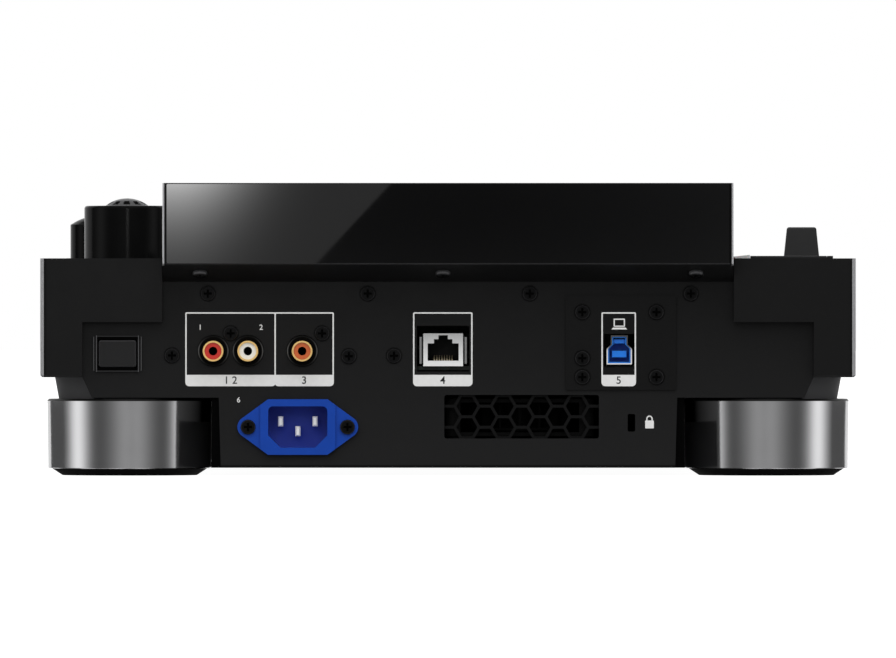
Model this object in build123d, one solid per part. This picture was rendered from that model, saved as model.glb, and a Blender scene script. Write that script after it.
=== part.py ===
from build123d import *
import math
import os

# Tabletop DJ media deck: jog wheel, tilted display, rear sockets and a slot-in disc drive.
# Millimetres, +Z up, origin at the bottom centre of the deck's box. The user stands at -Y,
# the sockets face +Y and +X is the user's right.

# ---------------------------------------------------------------- driving dimensions
total_width = 329.0
total_depth = 453.0
total_height = 118.0
case_low = 39.7
deck_top = 87.7
case_wall = 2.5
rear_wall = 5.0
roof_thickness = 2.5
deck_thickness = 1.5
case_rim = 2.2
case_corner = 3.0
plate_gap = 0.3
panel_thickness = 2.0
sheet = 1.5
shoulder_z = 62.0
display_overhang = 10.0
flange_gap = 0.2

tray_inset = 17.0
tray_taper = 3.8
tray_floor = 31.5
pan_floor = 3.2
pan_taper = 0.8
pan_front_inset = 32.0

foot_radius = 33.4
foot_taper = 0.4
foot_low_chamfer = 0.25
foot_side_margin = 2.1
foot_end_margin = 3.1
foot_pan_gap = 3.1
pan_side_gap = 0.4
foot_pad_height = 2.8
foot_top = 31.0
foot_cavity_radius = 26.0
foot_cavity_top = 24.0
foot_screw_radius = 2.0
neck_low_inset = 4.7
neck_high_inset = 3.1

display_width = 230.0
display_depth = 150.5
display_front_z = 90.5
display_wall = 2.5
display_skin = 4.0
display_corner = 0.8
glass_thickness = 2.0
menu_inset = 13.5
menu_margin = 14.5
lip_rear_z = 85.5
lip_low_z = 78.3
cover_thickness = 1.5
cover_rim = 1.2
cover_gap = 0.5
cover_top_rim = 0.4
cover_low_rim = 0.2

jog_well_radius = 107.0
jog_front_margin = 134.5
jog_ring_gap = 4.0
jog_ring_width = 8.5
jog_top = 101.0
jog_opening = 38.0
jog_post_radius = 12.0
jog_sleeve_radius = 15.0
jog_shoulder_radius = 18.0
jog_floor = 74.0
jog_shoulder = 80.0
jog_hub_low = 84.0
jog_cup_low = 95.0
jog_lens_rise = 0.2
running_gap = 0.05

key_gap = 0.4
key_lip = 1.6
key_rise = 1.0
key_travel = 0.8

fader_x_inset = 24.5
fader_length = 132.0
fader_front_inset = 21.0
fader_travel = 100.0
fader_slot = 5.4

disc_slot_width = 125.0
disc_slot_low = 57.0
disc_slot_height = 6.0
drive_width = 148.0
drive_depth = 156.0
drive_low = 44.0
drive_high = 70.0
drive_front_inset = 8.5
roller_radius = 4.0
roller_shaft_radius = 1.5

rca_pitch = 14.0
rca_shell_radius = 4.15
rca_hole_radius = 3.45
rca_root_radius = 3.9
rca_collar_radius = 6.25
rca_collar_reach = 0.8
rca_seat_gap = 0.1
rca_z = 50.3
rca_reach = 8.5
socket_board_top = 44.2
inlet_height = 22.4
inlet_flat = 24.0
inlet_ear_radius = 4.3
inlet_screw_pitch = 40.1
inlet_side_margin = 31.9
inlet_z = 19.66
vent_x = (-60.9, 1.5)
vent_z = (15.0, 32.6)
vent_pitch = 8.5
vent_bar = 1.2

screw_head_radius = 3.0
screw_head_height = 1.6
screw_shank_radius = 1.4
screw_hole_radius = 1.5
screw_length = 5.0
screw_sink = 0.5
screw_sink_radius = 3.4

# ---------------------------------------------------------------- places worked out from them
half_width = total_width / 2
front_y = -total_depth / 2
display_rear_y = total_depth / 2
case_rear = display_rear_y - display_overhang
panel_outer = case_rear - rear_wall
panel_inner = panel_outer - panel_thickness
inner_half = half_width - case_wall
deck_seat = deck_top - deck_thickness
roof_low = deck_seat - roof_thickness
tray_half = half_width - tray_inset
tray_floor_half = tray_half - tray_taper
foot_x = half_width - foot_side_margin - foot_radius
pan_half = foot_x - foot_radius - foot_pan_gap
pan_hollow_half = pan_half - pan_taper - sheet
pan_side = foot_x - foot_radius - pan_side_gap
foot_ys = (front_y + foot_end_margin + foot_radius, case_rear - foot_end_margin - foot_radius)
foot_sites = [(side * foot_x, y) for y in foot_ys for side in (-1, 1)]
tray_front = front_y + tray_inset
flange_top = case_low + sheet

key_top = deck_top + key_rise

display_half = display_width / 2
display_front = display_rear_y - display_depth
slope = math.degrees(math.atan2(total_height - display_front_z, display_depth))
slope_length = math.hypot(total_height - display_front_z, display_depth)
glass_length = slope_length - menu_inset - menu_margin
display_frame = Pos(0, display_front, display_front_z) * Rot(slope, 0, 0)
lip_front = panel_outer + plate_gap
footprint_half = display_half + plate_gap

jog_y = front_y + jog_front_margin
jog_ring_radius = jog_well_radius - jog_ring_gap
left_x = -half_width + 27.5
right_x = half_width - fader_x_inset
fader_y = (front_y + fader_front_inset, front_y + fader_front_inset + fader_length)
fader_mid = (fader_y[0] + fader_y[1]) / 2
stem_half = 5.0
carriage_half = 10.0
fader_slot_y = (fader_mid - fader_travel / 2 - stem_half - 3, fader_mid + fader_travel / 2 + stem_half + 3)

selector_site = (display_half + 17.4, display_front - 21.0)
selector_radius = 17.6
selector_top = total_height - 8.0
jog_adjust_site = (half_width - 19.0, display_front - 56.0)
jog_adjust_radius = 11.0
jog_adjust_top = deck_top + 18.3
jog_adjust_crown = 3.3
bore_roof = 4.5
shaft_radius = 3.0
shaft_hole_radius = 4.0
lever_x = -half_width + 18.3
lever_y = display_front - 40.0
lever_pivot_z = 80.0
lever_half = 7.3
lever_top_half = 6.0
lever_hub_radius = 3.2
lever_pin_radius = 2.0
door_x = (-half_width + 9.0, -display_half - 7.1)
door_y = (case_rear - 52.0, case_rear - 15.0)
hinge_y = door_y[1] + 2.2
hinge_z = deck_top - 0.1
hinge_radius = 1.15
hinge_pin_radius = 0.7
hinge_lug = 2.4
door_gap = 0.4
hinge_gap = 0.15
door_thickness = 1.5
media_margin = hinge_lug + 1.0

media_low = 66.0
board_top = 76.6
board_low = 75.0
board_x = 112.0
board_y = (front_y + 24.0, display_front - 14.0)
boss_ys = (front_y + 9.0, panel_inner - 75.0)
boss_sites = [(side * (inner_half - 6.0), y) for side in (-1, 1) for y in boss_ys]

drive_y = (front_y + drive_front_inset, front_y + drive_front_inset + drive_depth)
turntable_y = front_y + 81.5
turntable_top = 57.4
roller_z = disc_slot_low - roller_radius
roller_y = drive_y[0] + 6.0
rod_x = 28.0
rod_z = 50.0
rod_radius = 1.5
sled_y = (turntable_y + 19.0, turntable_y + 45.0)

rca_sites = ((94.7, 94.7 - rca_pitch), (58.8,))
rca_xs = [x for group in rca_sites for x in group]
link_x = 1.95
usb_x = -69.1
power_x = (tray_half - 23.9, tray_half - 4.4)
power_z = (41.9, 56.6)
blower_x = (-59.0, 1.0)
blower_y = (panel_outer - 65.5, panel_outer - 5.5)
blower_z = (16.0, 31.0)
rotor_site = (-29.0, blower_y[0] + 28.0)
inlet_x = pan_half - inlet_side_margin
stand_radius = 3.0
main_board_stands = (-pan_hollow_half - 6.8, pan_hollow_half + 18.8)
main_board_x = (main_board_stands[0] - stand_radius, main_board_stands[1] + stand_radius)
supply_x = (blower_x[1] + 7.0, pan_hollow_half - 2.2)
supply_y = (panel_inner - 150.0, panel_inner - 20.0)
supply_low = 8.0

panel_screw_sites = [(96.9, 73.5), (32.4, 73.5), (-33.0, 73.5), (-98.0, 73.5), (111.4, 48.5)]
panel_screw_sites += [(87.7, 57.4), (50.8, 57.4), (40.0, 48.2), (21.8, 48.4)]
plate_screw_sites = [(-54.2, 66.0), (-84.1, 66.0), (-54.2, 39.8), (-84.1, 39.8), (-54.2, 47.4)]
inlet_screw_sites = [(inlet_x + side * inlet_screw_pitch / 2, inlet_z) for side in (-1, 1)]
lip_screw_xs = (-100.0, 2.0, 100.0)

# Keys: (x, y, width, depth). The two round keys are (x, y, diameter).
search_keys = {
    "search_back_key": (left_x - 11.0, jog_y - 21.0, 18.0, 9.0),
    "search_forward_key": (left_x + 11.0, jog_y - 21.0, 18.0, 9.0),
    "track_back_key": (left_x - 11.0, jog_y - 3.0, 18.0, 9.0),
    "track_forward_key": (left_x + 11.0, jog_y - 3.0, 18.0, 9.0),
}
loop_rows = (28.0, 48.0, 68.0)
loop_sites = [(left_x + dx, jog_y + dy, 18.0, 11.0) for dy in loop_rows for dx in (-11.0, 11.0)]
tempo_rows = (36.0, 53.0, 70.0)
tempo_sites = [(right_x + dx, jog_y + dy, 17.0, 9.0) for dy in tempo_rows for dx in (-12.0, 11.0)]
cue_sites = [((column - 3.5) * 27.5, display_front - 25.0, 23.0, 12.0) for column in range(8)]
eject_site = (left_x + 33.0, front_y + 15.0, 16.0, 8.0)
play_site = (left_x, front_y + 30.5, 38.0)
cue_site = (left_x, front_y + 76.5, 38.0)
menu_width = 26.0
menu_sites = [((column - 2.5) * 34.0, slope_length - menu_inset) for column in range(6)]
menu_depth = 9.0


# ---------------------------------------------------------------- shape helpers
def block(x, y, z):
    """Box between three (low, high) pairs."""
    spans = (x, y, z)
    middle = [(low + high) / 2 for low, high in spans]
    return Pos(*middle) * Box(*[high - low for low, high in spans])


def around(middle, half):
    """(low, high) pair centred on middle."""
    return (middle - half, middle + half)


def inset(span, margin):
    """(low, high) pair moved in by a margin at both ends."""
    return (span[0] + margin, span[1] - margin)


def slab(x, y, z, radius):
    """Box with its four upright edges rounded."""
    outline = RectangleRounded(x[1] - x[0], y[1] - y[0], radius)
    return Pos((x[0] + x[1]) / 2, (y[0] + y[1]) / 2, z[0]) * extrude(outline, z[1] - z[0])


def rear_slab(x, z, y, radius):
    """Box with the four edges that run along Y rounded."""
    outline = RectangleRounded(x[1] - x[0], z[1] - z[0], radius)
    face = Pos((x[0] + x[1]) / 2, y[1], (z[0] + z[1]) / 2) * Rot(90, 0, 0)
    return face * extrude(outline, y[1] - y[0])


def post(x, y, z, radius, top_radius=None):
    """Round bar along Z, tapered when top_radius is given."""
    height = z[1] - z[0]
    if top_radius is None:
        bar = Cylinder(radius, height)
    else:
        bar = Cone(radius, top_radius, height)
    return Pos(x, y, (z[0] + z[1]) / 2) * bar


def tube(x, y, z, outer, inner):
    return post(x, y, z, outer) - post(x, y, z, inner)


def bar_x(y, z, x, radius):
    return Pos((x[0] + x[1]) / 2, y, z) * Rot(0, 90, 0) * Cylinder(radius, x[1] - x[0])


def bar_y(x, z, y, radius):
    return Pos(x, (y[0] + y[1]) / 2, z) * Rot(90, 0, 0) * Cylinder(radius, y[1] - y[0])


def prism_y(outline, y):
    """Polygon of (x, z) points run along Y."""
    wire = Polyline(*[(px, y[0], pz) for px, pz in outline], close=True)
    return extrude(make_face(wire), y[1] - y[0], dir=(0, 1, 0))


def prism_x(outline, x):
    """Polygon of (y, z) points run along X."""
    wire = Polyline(*[(x[0], py, pz) for py, pz in outline], close=True)
    return extrude(make_face(wire), x[1] - x[0], dir=(1, 0, 0))


def mirrored(outline):
    """Close a half outline of (x, z) points, given from top to bottom, with its mirror image."""
    return outline + [(-px, pz) for px, pz in reversed(outline)]


def grow(site, margin):
    """Plan limits of a rectangular key with a margin all round."""
    x, y, width, depth = site
    return around(x, width / 2 + margin), around(y, depth / 2 + margin)


def cross_recess(depth):
    """Cross-shaped driver recess, sunk from z = 0."""
    arm, thick = screw_head_radius * 1.1, screw_head_radius * 0.28
    return Pos(0, 0, -depth / 2) * (Box(arm, thick, depth) + Box(thick, arm, depth))


def screw():
    """Pan-head screw with its head's seat at z = 0 and its shank down -Z."""
    head = Pos(0, 0, screw_head_height / 2) * Cylinder(screw_head_radius, screw_head_height)
    head = fillet(head.edges().group_by(Axis.Z)[-1], screw_head_height * 0.45)
    shank = Pos(0, 0, -screw_length / 2) * Cylinder(screw_shank_radius, screw_length)
    return head + shank - Pos(0, 0, screw_head_height) * cross_recess(screw_head_height * 0.6)


def rear_seat(x, z, y):
    """Frame whose +Z points out of the rear at (x, y, z)."""
    return Pos(x, y, z) * Rot(-90, 0, 0)


def lip_seat(x):
    """Frame on the middle of the display's sloping underside, +Z pointing out of it."""
    run, rise = display_rear_y - lip_front, lip_rear_z - lip_low_z
    middle = (x, (display_rear_y + lip_front) / 2, (lip_rear_z + lip_low_z) / 2)
    return Location(Plane(origin=middle, x_dir=(1, 0, 0), z_dir=(0, rise, -run)))


# ---------------------------------------------------------------- key shapes
def key_openings():
    """Cutters for every hole that goes down through the deck plate and the case roof."""
    span = (roof_low - 1, deck_top + 1)
    cutters = []
    flat_keys = [*search_keys.values(), *loop_sites, *tempo_sites, *cue_sites, eject_site]
    for site in flat_keys:
        cutters.append(slab(*grow(site, key_gap), span, 1.0))
    for x, y, diameter in (play_site, cue_site):
        cutters.append(post(x, y, span, diameter / 2 + key_gap))
    cutters.append(post(0, jog_y, span, jog_well_radius))
    cutters.append(block(around(right_x, fader_slot / 2), fader_slot_y, span))
    cutters.append(block(around(lever_x, lever_half + 0.7), around(lever_y, 7.0), span))
    for x, y in (selector_site, jog_adjust_site):
        cutters.append(post(x, y, span, shaft_hole_radius))
    cutters.append(block(inset(door_x, media_margin), inset(door_y, 3), span))
    return cutters


def flat_key(site):
    """Key cap that stands through the deck, with a lip below the roof and a plunger."""
    x, y = site[0], site[1]
    cap = slab(*grow(site, 0), (roof_low - 1.0, key_top), 0.8)
    cap = chamfer(cap.edges().group_by(Axis.Z)[-1], 0.5)
    lip = slab(*grow(site, key_lip), (roof_low - 2.0, roof_low - 0.1), 0.8)
    plunger = post(x, y, (board_top + key_travel + 0.4, roof_low - 1.5), 2.0)
    return cap + lip + plunger


def round_key(site):
    """Round key with a dished top, a lip and a plunger."""
    x, y, diameter = site
    cap = post(x, y, (roof_low - 1.0, key_top + 0.5), diameter / 2)
    cap = chamfer(cap.edges().group_by(Axis.Z)[-1], 0.8)
    dish = Pos(x, y, key_top + 0.5 + 118.5) * Sphere(120.0)
    lip = post(x, y, (roof_low - 2.0, roof_low - 0.1), diameter / 2 + key_lip)
    plunger = post(x, y, (board_top + key_travel + 0.4, roof_low - 1.5), 3.0)
    return cap - dish + lip + plunger


# ---------------------------------------------------------------- casings
def make_upper_case():
    case = slab((-half_width, half_width), (front_y, case_rear), (case_low, deck_top), case_corner)
    case = chamfer(case.edges().group_by(Axis.Z)[0], 0.8)
    case -= block(around(0, inner_half), (front_y + case_wall, panel_outer), (case_low - 1, roof_low))
    seat_y = (front_y + case_rim, case_rear - case_rim)
    case -= slab(around(0, half_width - case_rim), seat_y, (deck_seat, deck_top + 1), 1.5)
    rear_cut = (panel_outer, case_rear + 1)
    case -= block(around(0, tray_half), (panel_outer - 1, case_rear + 1), (case_low - 1, shoulder_z))
    case -= block(around(0, footprint_half), rear_cut, (shoulder_z - 1, deck_top + 1))
    cable_y = (display_front + 6, panel_outer - 21)
    case -= block(around(0, display_half - 9.5), cable_y, (roof_low - 1, deck_top))
    for cutter in key_openings():
        case -= cutter
    slot_half = disc_slot_width / 2 + 5.7
    slot_z = (disc_slot_low - 3.2, disc_slot_low + disc_slot_height + 3.2)
    case -= block((-slot_half, slot_half), (front_y - 1, front_y + case_wall + 1), slot_z)
    for side in (-1, 1):
        edges = sorted((side * (inner_half - 2.5), side * (inner_half + 0.5)))
        case += block(edges, board_y, (board_low - 2.0, board_low))
    for x, y in boss_sites:
        case += post(x, y, (flange_top, roof_low), 4.0) - post(x, y, (flange_top, flange_top + 12), 1.25)
    for side in (-1, 1):
        x = around(lever_x + side * (lever_half + 1.8), 0.8)
        lug = block(x, around(lever_y, 4), (lever_pivot_z - 3.0, roof_low + 0.5))
        case += lug - bar_x(lever_y, lever_pivot_z, inset(x, -1), lever_pin_radius + running_gap)
    return case


def make_deck_plate():
    half = half_width - case_rim - plate_gap
    span = (deck_seat, deck_top)
    limits = (front_y + case_rim + plate_gap, case_rear - case_rim - plate_gap)
    plate = slab((-half, half), limits, span, 1.2)
    footprint_y = (display_front - plate_gap, case_rear)
    plate -= block(around(0, footprint_half), footprint_y, (deck_seat - 1, deck_top + 1))
    for cutter in key_openings():
        plate -= cutter
    cut = (deck_seat - 1, deck_top + 1)
    plate -= post(*selector_site, cut, selector_radius + 0.6)
    plate -= block(inset(door_x, hinge_lug), (door_y[0] - door_gap, hinge_y + 2.2), cut)
    for x in ((door_x[0], door_x[0] + hinge_lug), (door_x[1] - hinge_lug, door_x[1])):
        plate += bar_x(hinge_y, hinge_z, x, hinge_radius)
        plate -= bar_x(hinge_y, hinge_z, inset(x, -1), hinge_pin_radius + running_gap)
    return plate


def make_bottom_chassis():
    tray = mirrored([(tray_half, flange_top), (tray_half, case_low), (tray_floor_half, tray_floor)])
    shell = prism_y(tray, (tray_front, panel_inner))
    pan_y = (front_y + pan_front_inset, panel_inner)
    pan = [(pan_side, tray_floor + sheet), (pan_side, tray_floor), (pan_side + foot_taper, pan_floor)]
    shell += prism_y(mirrored(pan), pan_y)
    flange_y = (front_y + case_wall + flange_gap, panel_inner)
    shell += block(around(0, inner_half - flange_gap), flange_y, (case_low, flange_top))
    inside = mirrored([
        (tray_half - sheet, flange_top + 1),
        (tray_half - sheet, case_low),
        (tray_floor_half - sheet, tray_floor + sheet),
    ])
    shell -= prism_y(inside, (tray_front + sheet, panel_inner + 1))
    hollow_y = (pan_y[0] + sheet, panel_inner + 1)
    shell -= block(around(0, pan_hollow_half), hollow_y, (pan_floor + sheet, case_low))
    for x, y in foot_sites:
        neck_z = (foot_top, case_low)
        shell += post(x, y, neck_z, foot_radius - neck_low_inset, foot_radius - neck_high_inset)
        shell -= post(x, y, (foot_top - 1, flange_top + 1), foot_screw_radius + running_gap)
    shell -= block((-inner_half, inner_half), (panel_inner, case_rear), (pan_floor, flange_top + 1))
    for x, y in boss_sites:
        shell -= post(x, y, (case_low - 1, flange_top + 1), screw_hole_radius)
    for x in main_board_stands:
        for y in (panel_inner - 113.0, panel_inner - 12.0):
            shell += post(x, y, (tray_floor + sheet, socket_board_top - 1.6), stand_radius)
    for x in inset(supply_x, 4.0):
        for y in inset(supply_y, 4.0):
            shell += post(x, y, (pan_floor + sheet, supply_low), 2.5)
    return shell


def make_rear_panel():
    outline = mirrored([
        (tray_half + 2.0, roof_low),
        (tray_half + 2.0, flange_top),
        (tray_half, flange_top),
        (tray_half, case_low),
        (tray_floor_half, tray_floor),
        (pan_half, tray_floor),
        (pan_half - pan_taper, pan_floor),
    ])
    panel = prism_y(outline, (panel_inner, panel_outer))
    through = (panel_inner - 1, panel_outer + 1)
    for x in rca_xs:
        panel -= bar_y(x, rca_z, through, rca_collar_radius + 0.25)
    panel -= block((link_x - 10.6, link_x + 10.6), through, (42.0, 60.5))
    panel -= block((usb_x - 6.2, usb_x + 6.2), through, (43.6, 57.2))
    panel -= block((inlet_x - 14.0, inlet_x + 14.0), through, (inlet_z - 10.2, inlet_z + 10.2))
    panel -= rear_slab(vent_x, vent_z, through, 1.0)
    panel -= rear_slab((-75.5, -72.5), (17.8, 24.9), through, 0.6)
    panel -= block(inset(power_x, 1.2), through, inset(power_z, 0.95))
    for x, z in panel_screw_sites:
        panel -= bar_y(x, z, (panel_outer - screw_sink, through[1]), screw_sink_radius)
    for x, z in panel_screw_sites + plate_screw_sites + inlet_screw_sites:
        panel -= bar_y(x, z, through, screw_hole_radius)
    return panel


def make_usb_cover_plate():
    span = (panel_outer, panel_outer + 1.0)
    plate = rear_slab((-92.0, -47.4), (34.6, 72.8), span, 0.8)
    plate -= block((usb_x - 6.2, usb_x + 6.2), (span[0] - 1, span[1] + 1), (43.6, 57.2))
    for x, z in plate_screw_sites:
        plate -= bar_y(x, z, (span[1] - screw_sink, span[1] + 1), screw_sink_radius)
        plate -= bar_y(x, z, (span[0] - 1, span[1] + 1), screw_hole_radius)
    return plate


def make_vent_grille():
    margin = 2.0
    span = (panel_inner - 1.5, panel_inner)
    limits = (vent_x[0] - margin, vent_x[1] + margin)
    grille = block(limits, span, (vent_z[0] - margin, vent_z[1] + margin))
    cell = RegularPolygon((vent_pitch - vent_bar) / 2, 6, major_radius=False)
    column_pitch = vent_pitch * math.cos(math.radians(30))
    for column in range(-4, 5):
        x = (vent_x[0] + vent_x[1]) / 2 + column * column_pitch
        shift = vent_pitch / 2 if column % 2 else 0
        for row in (-1, 0, 1):
            z = (vent_z[0] + vent_z[1]) / 2 + row * vent_pitch + shift
            hole = Pos(x, span[1] + 1, z) * Rot(90, 0, 0) * extrude(cell, 4.0)
            grille -= hole & block(vent_x, (span[0] - 1, span[1] + 1), vent_z)
    return grille


# ---------------------------------------------------------------- feet
def make_foot_shells():
    shells = []
    for x, y in foot_sites:
        shell = post(x, y, (foot_pad_height, foot_top), foot_radius - foot_taper, foot_radius)
        shell = chamfer(shell.edges().group_by(Axis.Z)[-1], 0.7)
        shell = chamfer(shell.edges().group_by(Axis.Z)[0], foot_low_chamfer)
        shell -= post(x, y, (foot_pad_height - 1, foot_cavity_top), foot_cavity_radius)
        screw_hole = post(x, y, (foot_cavity_top - 1, foot_top + 1), foot_screw_radius + running_gap)
        shells.append(shell - screw_hole)
    return Compound(shells)


def make_foot_pads():
    pads = []
    for x, y in foot_sites:
        pad = post(x, y, (0, foot_pad_height), foot_radius - 6.2, foot_radius - 1.9)
        pad += post(x, y, (foot_pad_height - 0.5, foot_cavity_top - 5), foot_cavity_radius - 0.1)
        pads.append(pad)
    return Compound(pads)


# ---------------------------------------------------------------- display
def slope_block(x, along, normal):
    """Box in the sloping frame of the display: x across, then up the slope, then out of it."""
    return display_frame * block(x, along, normal)


def menu_key_limits(x, along, margin):
    half_w, half_d = menu_width / 2 + margin, menu_depth / 2 + margin
    return (x - half_w, x + half_w), (along - half_d, along + half_d)


def cover_limits(side_gap):
    """Limits in x and z of the rear cover's seat, drawn in at the sides for the cover itself."""
    x = around(0, display_half - cover_rim - side_gap)
    return x, (lip_rear_z + cover_low_rim, total_height - cover_top_rim)


def make_display_housing():
    side = [
        (display_front, deck_seat),
        (display_front, display_front_z),
        (display_rear_y, total_height),
        (display_rear_y, lip_rear_z),
        (lip_front, lip_low_z),
        (lip_front, deck_seat),
    ]
    housing = prism_x(side, (-display_half, display_half))
    corners = housing.edges().filter_by(Axis.Z).group_by(Axis.Y)[-1]
    housing = fillet(corners, display_corner)
    wall_rear = display_rear_y - cover_thickness - display_wall
    rise = math.tan(math.radians(slope))
    drop = display_skin / math.cos(math.radians(slope))

    def skin_z(y):
        return display_front_z + (y - display_front) * rise - drop

    cavity_front = display_front + display_wall
    cavity = [
        (cavity_front, deck_seat - 1),
        (cavity_front, skin_z(cavity_front)),
        (wall_rear, skin_z(wall_rear)),
        (wall_rear, lip_rear_z + 3),
        (panel_outer - display_wall, deck_seat - 1),
    ]
    inner = display_half - display_wall
    housing -= prism_x(cavity, (-inner, inner))
    housing -= slope_block((-inner, inner), (1.8, 2.2 + glass_length), (-glass_thickness, 1))
    housing -= slope_block((-101, 101), (8, glass_length - 4), (-display_skin - 1, 0))
    cover_y = (display_rear_y - cover_thickness, display_rear_y + 1)
    housing -= rear_slab(*cover_limits(0), cover_y, 0.6)
    for x, along in menu_sites:
        housing -= slope_block(*menu_key_limits(x, along, key_gap), (-display_skin - 1, 1))
    hole_depth = screw_length + 1
    for x in lip_screw_xs:
        hole = Cylinder(screw_hole_radius, hole_depth)
        housing -= lip_seat(x) * Pos(0, 0, 0.5 - hole_depth / 2) * hole
    return housing


def make_display_back_cover():
    cover_y = (display_rear_y - cover_thickness, display_rear_y)
    return rear_slab(*cover_limits(cover_gap), cover_y, 0.5)


def make_display_glass():
    half = display_half - display_wall - 0.2
    return slope_block((-half, half), (2.0, 2.0 + glass_length), (-glass_thickness, 0))


def make_display_panel():
    return slope_block((-103, 103), (10, glass_length - 2), (-display_skin - 3, -display_skin))


def make_menu_keys():
    """Row of keys behind the glass, each with a lip that hangs under the skin."""
    keys = []
    for x, along in menu_sites:
        cap = slope_block(*menu_key_limits(x, along, 0), (-display_skin - 1, 1.0))
        lip_depth = (-display_skin - 1.6, -display_skin - 0.1)
        lip = slope_block(*menu_key_limits(x, along, key_lip), lip_depth)
        keys.append(cap + lip)
    return Compound(keys)


# ---------------------------------------------------------------- jog wheel
def make_jog_base():
    """Casting that closes the well, with the post the wheel turns on."""
    outer = jog_well_radius - 0.2
    base = post(0, jog_y, (jog_floor, deck_top), outer)
    base -= post(0, jog_y, (jog_floor + 2, deck_top + 1), outer - 2.3)
    base += tube(0, jog_y, (roof_low - 2, roof_low), jog_well_radius + 4, outer - 1)
    base += post(0, jog_y, (jog_floor + 1, jog_shoulder), jog_shoulder_radius)
    return base + post(0, jog_y, (jog_floor + 1, jog_cup_low), jog_post_radius)


def make_jog_bearing():
    """Flanged sleeve pressed on the post."""
    sleeve = post(0, jog_y, (jog_shoulder, jog_cup_low), jog_sleeve_radius)
    sleeve += post(0, jog_y, (jog_shoulder, jog_hub_low - running_gap), jog_shoulder_radius + 2)
    return sleeve - post(0, jog_y, (jog_shoulder - 1, jog_cup_low + 1), jog_post_radius)


def make_jog_platter():
    web_low, web_top = jog_cup_low - 5, jog_cup_low - 2
    platter = post(0, jog_y, (web_low, jog_top), jog_ring_radius - jog_ring_width)
    platter -= post(0, jog_y, (web_top, jog_top + 1), jog_opening)
    platter += post(0, jog_y, (jog_hub_low, web_low + 1), jog_shoulder_radius + 4)
    return platter - post(0, jog_y, (jog_hub_low - 1, web_top + 1), jog_sleeve_radius + running_gap)


def make_jog_ring():
    """Outer ring with a row of finger dimples in its upper edge."""
    inner = jog_ring_radius - jog_ring_width
    ring_top = jog_top - 1
    ring = tube(0, jog_y, (jog_hub_low - 1, ring_top), jog_ring_radius, inner)
    dimple_count, dimple_radius, dimple_depth = 24, 9.0, 1.8
    centre = Pos(jog_ring_radius - jog_ring_width / 2, 0, ring_top - dimple_depth + dimple_radius)
    for index in range(dimple_count):
        turn = Pos(0, jog_y, 0) * Rot(0, 0, index * 360 / dimple_count)
        ring -= turn * centre * Sphere(dimple_radius)
    return ring


def make_jog_display():
    """Fixed round display cup on top of the post."""
    cup = post(0, jog_y, (jog_cup_low, jog_top + jog_lens_rise), jog_opening - 2)
    return cup - post(0, jog_y, (jog_cup_low + 2, jog_top + 1), jog_opening - 3.5)


def make_jog_lens():
    """Round window of the jog display on a short foot."""
    window = post(0, jog_y, (jog_top - 1.3, jog_top + jog_lens_rise), jog_opening - 3.6)
    return window + post(0, jog_y, (jog_cup_low + 2, jog_top - 1.2), 8)


# ---------------------------------------------------------------- deck controls
def make_tempo_fader_body():
    """Channel under the roof that the fader's carriage runs in, open along its top."""
    body = block(around(right_x, 10), fader_y, (board_top, roof_low))
    channel = around(fader_mid, fader_travel / 2 + carriage_half + 3)
    body -= block(around(right_x, 6.2), channel, (board_top + 1.4, roof_low - 0.9))
    slot = block(around(right_x, fader_slot / 2), fader_slot_y, (board_top + 1.4, roof_low + 1))
    return body - slot


def make_tempo_knob():
    """Fader cap with a centre groove, its stem and the carriage below the roof."""
    cap = slab(around(right_x, 10), around(fader_mid, 9), (deck_top + 1, deck_top + 11), 1.5)
    cap = chamfer(cap.edges().group_by(Axis.Z)[-1], 1.2)
    cap -= block(around(right_x, 11), around(fader_mid, 1), (deck_top + 9.2, deck_top + 12))
    stem_width = fader_slot - 2 * key_gap - 0.6
    stem_z = (board_top + 2.5, deck_top + 2)
    stem = block(around(right_x, stem_width / 2), around(fader_mid, stem_half), stem_z)
    carriage_z = (board_top + 1.8, roof_low - 1.3)
    return cap + stem + block(around(right_x, 5.8), around(fader_mid, carriage_half), carriage_z)


def knob(site, radius, z, edge):
    """Turned knob with a rounded edge and a blind bore for its shaft."""
    x, y = site
    low, top = z
    body = post(x, y, z, radius)
    body = fillet(body.edges().group_by(Axis.Z)[-1], edge)
    return body - post(x, y, (low - 1, top - bore_roof), shaft_radius + running_gap)


def crown(site, base, radius, height):
    """Shallow cap of a sphere on a knob's top, reaching a little down into it."""
    x, y = site
    sphere_radius = (radius ** 2 + height ** 2) / (2 * height)
    cap = Pos(x, y, base + height - sphere_radius) * Sphere(sphere_radius)
    return cap & post(x, y, (base - 0.2, base + height + 1), radius)


def make_rotary_selector():
    x, y = selector_site
    top = selector_top
    body = knob(selector_site, selector_radius, (deck_top - 0.4, top), 1.2)
    dome = crown(selector_site, top, 8.9, 3.1)
    dimples, dimple_circle, dimple_radius = 10, 7.2, 1.5
    for index in range(dimples):
        turn = Rot(0, 0, 90 + index * 360 / dimples)
        dome -= Pos(x, y, 0) * turn * Pos(dimple_circle, 0, top + 1.6) * Sphere(dimple_radius)
    return body + dome


def make_selector_shaft():
    x, y = selector_site
    return post(x, y, (board_top - 1.0, selector_top - bore_roof - 0.3), shaft_radius)


def make_jog_adjust_knob():
    x, y = jog_adjust_site
    edge = 0.6
    rim = jog_adjust_top - jog_adjust_crown
    dome = crown(jog_adjust_site, rim, jog_adjust_radius - edge, jog_adjust_crown)
    body = knob(jog_adjust_site, jog_adjust_radius, (deck_top + 0.3, rim), edge) + dome
    pointer = block((x - 0.6, x + 0.6), (y - jog_adjust_radius, y - 3), (rim, jog_adjust_top + 1))
    pointer -= Pos(0, 0, -0.6) * dome
    return body + post(x, y, (board_top + 0.6, rim - bore_roof), shaft_radius) - pointer


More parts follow.
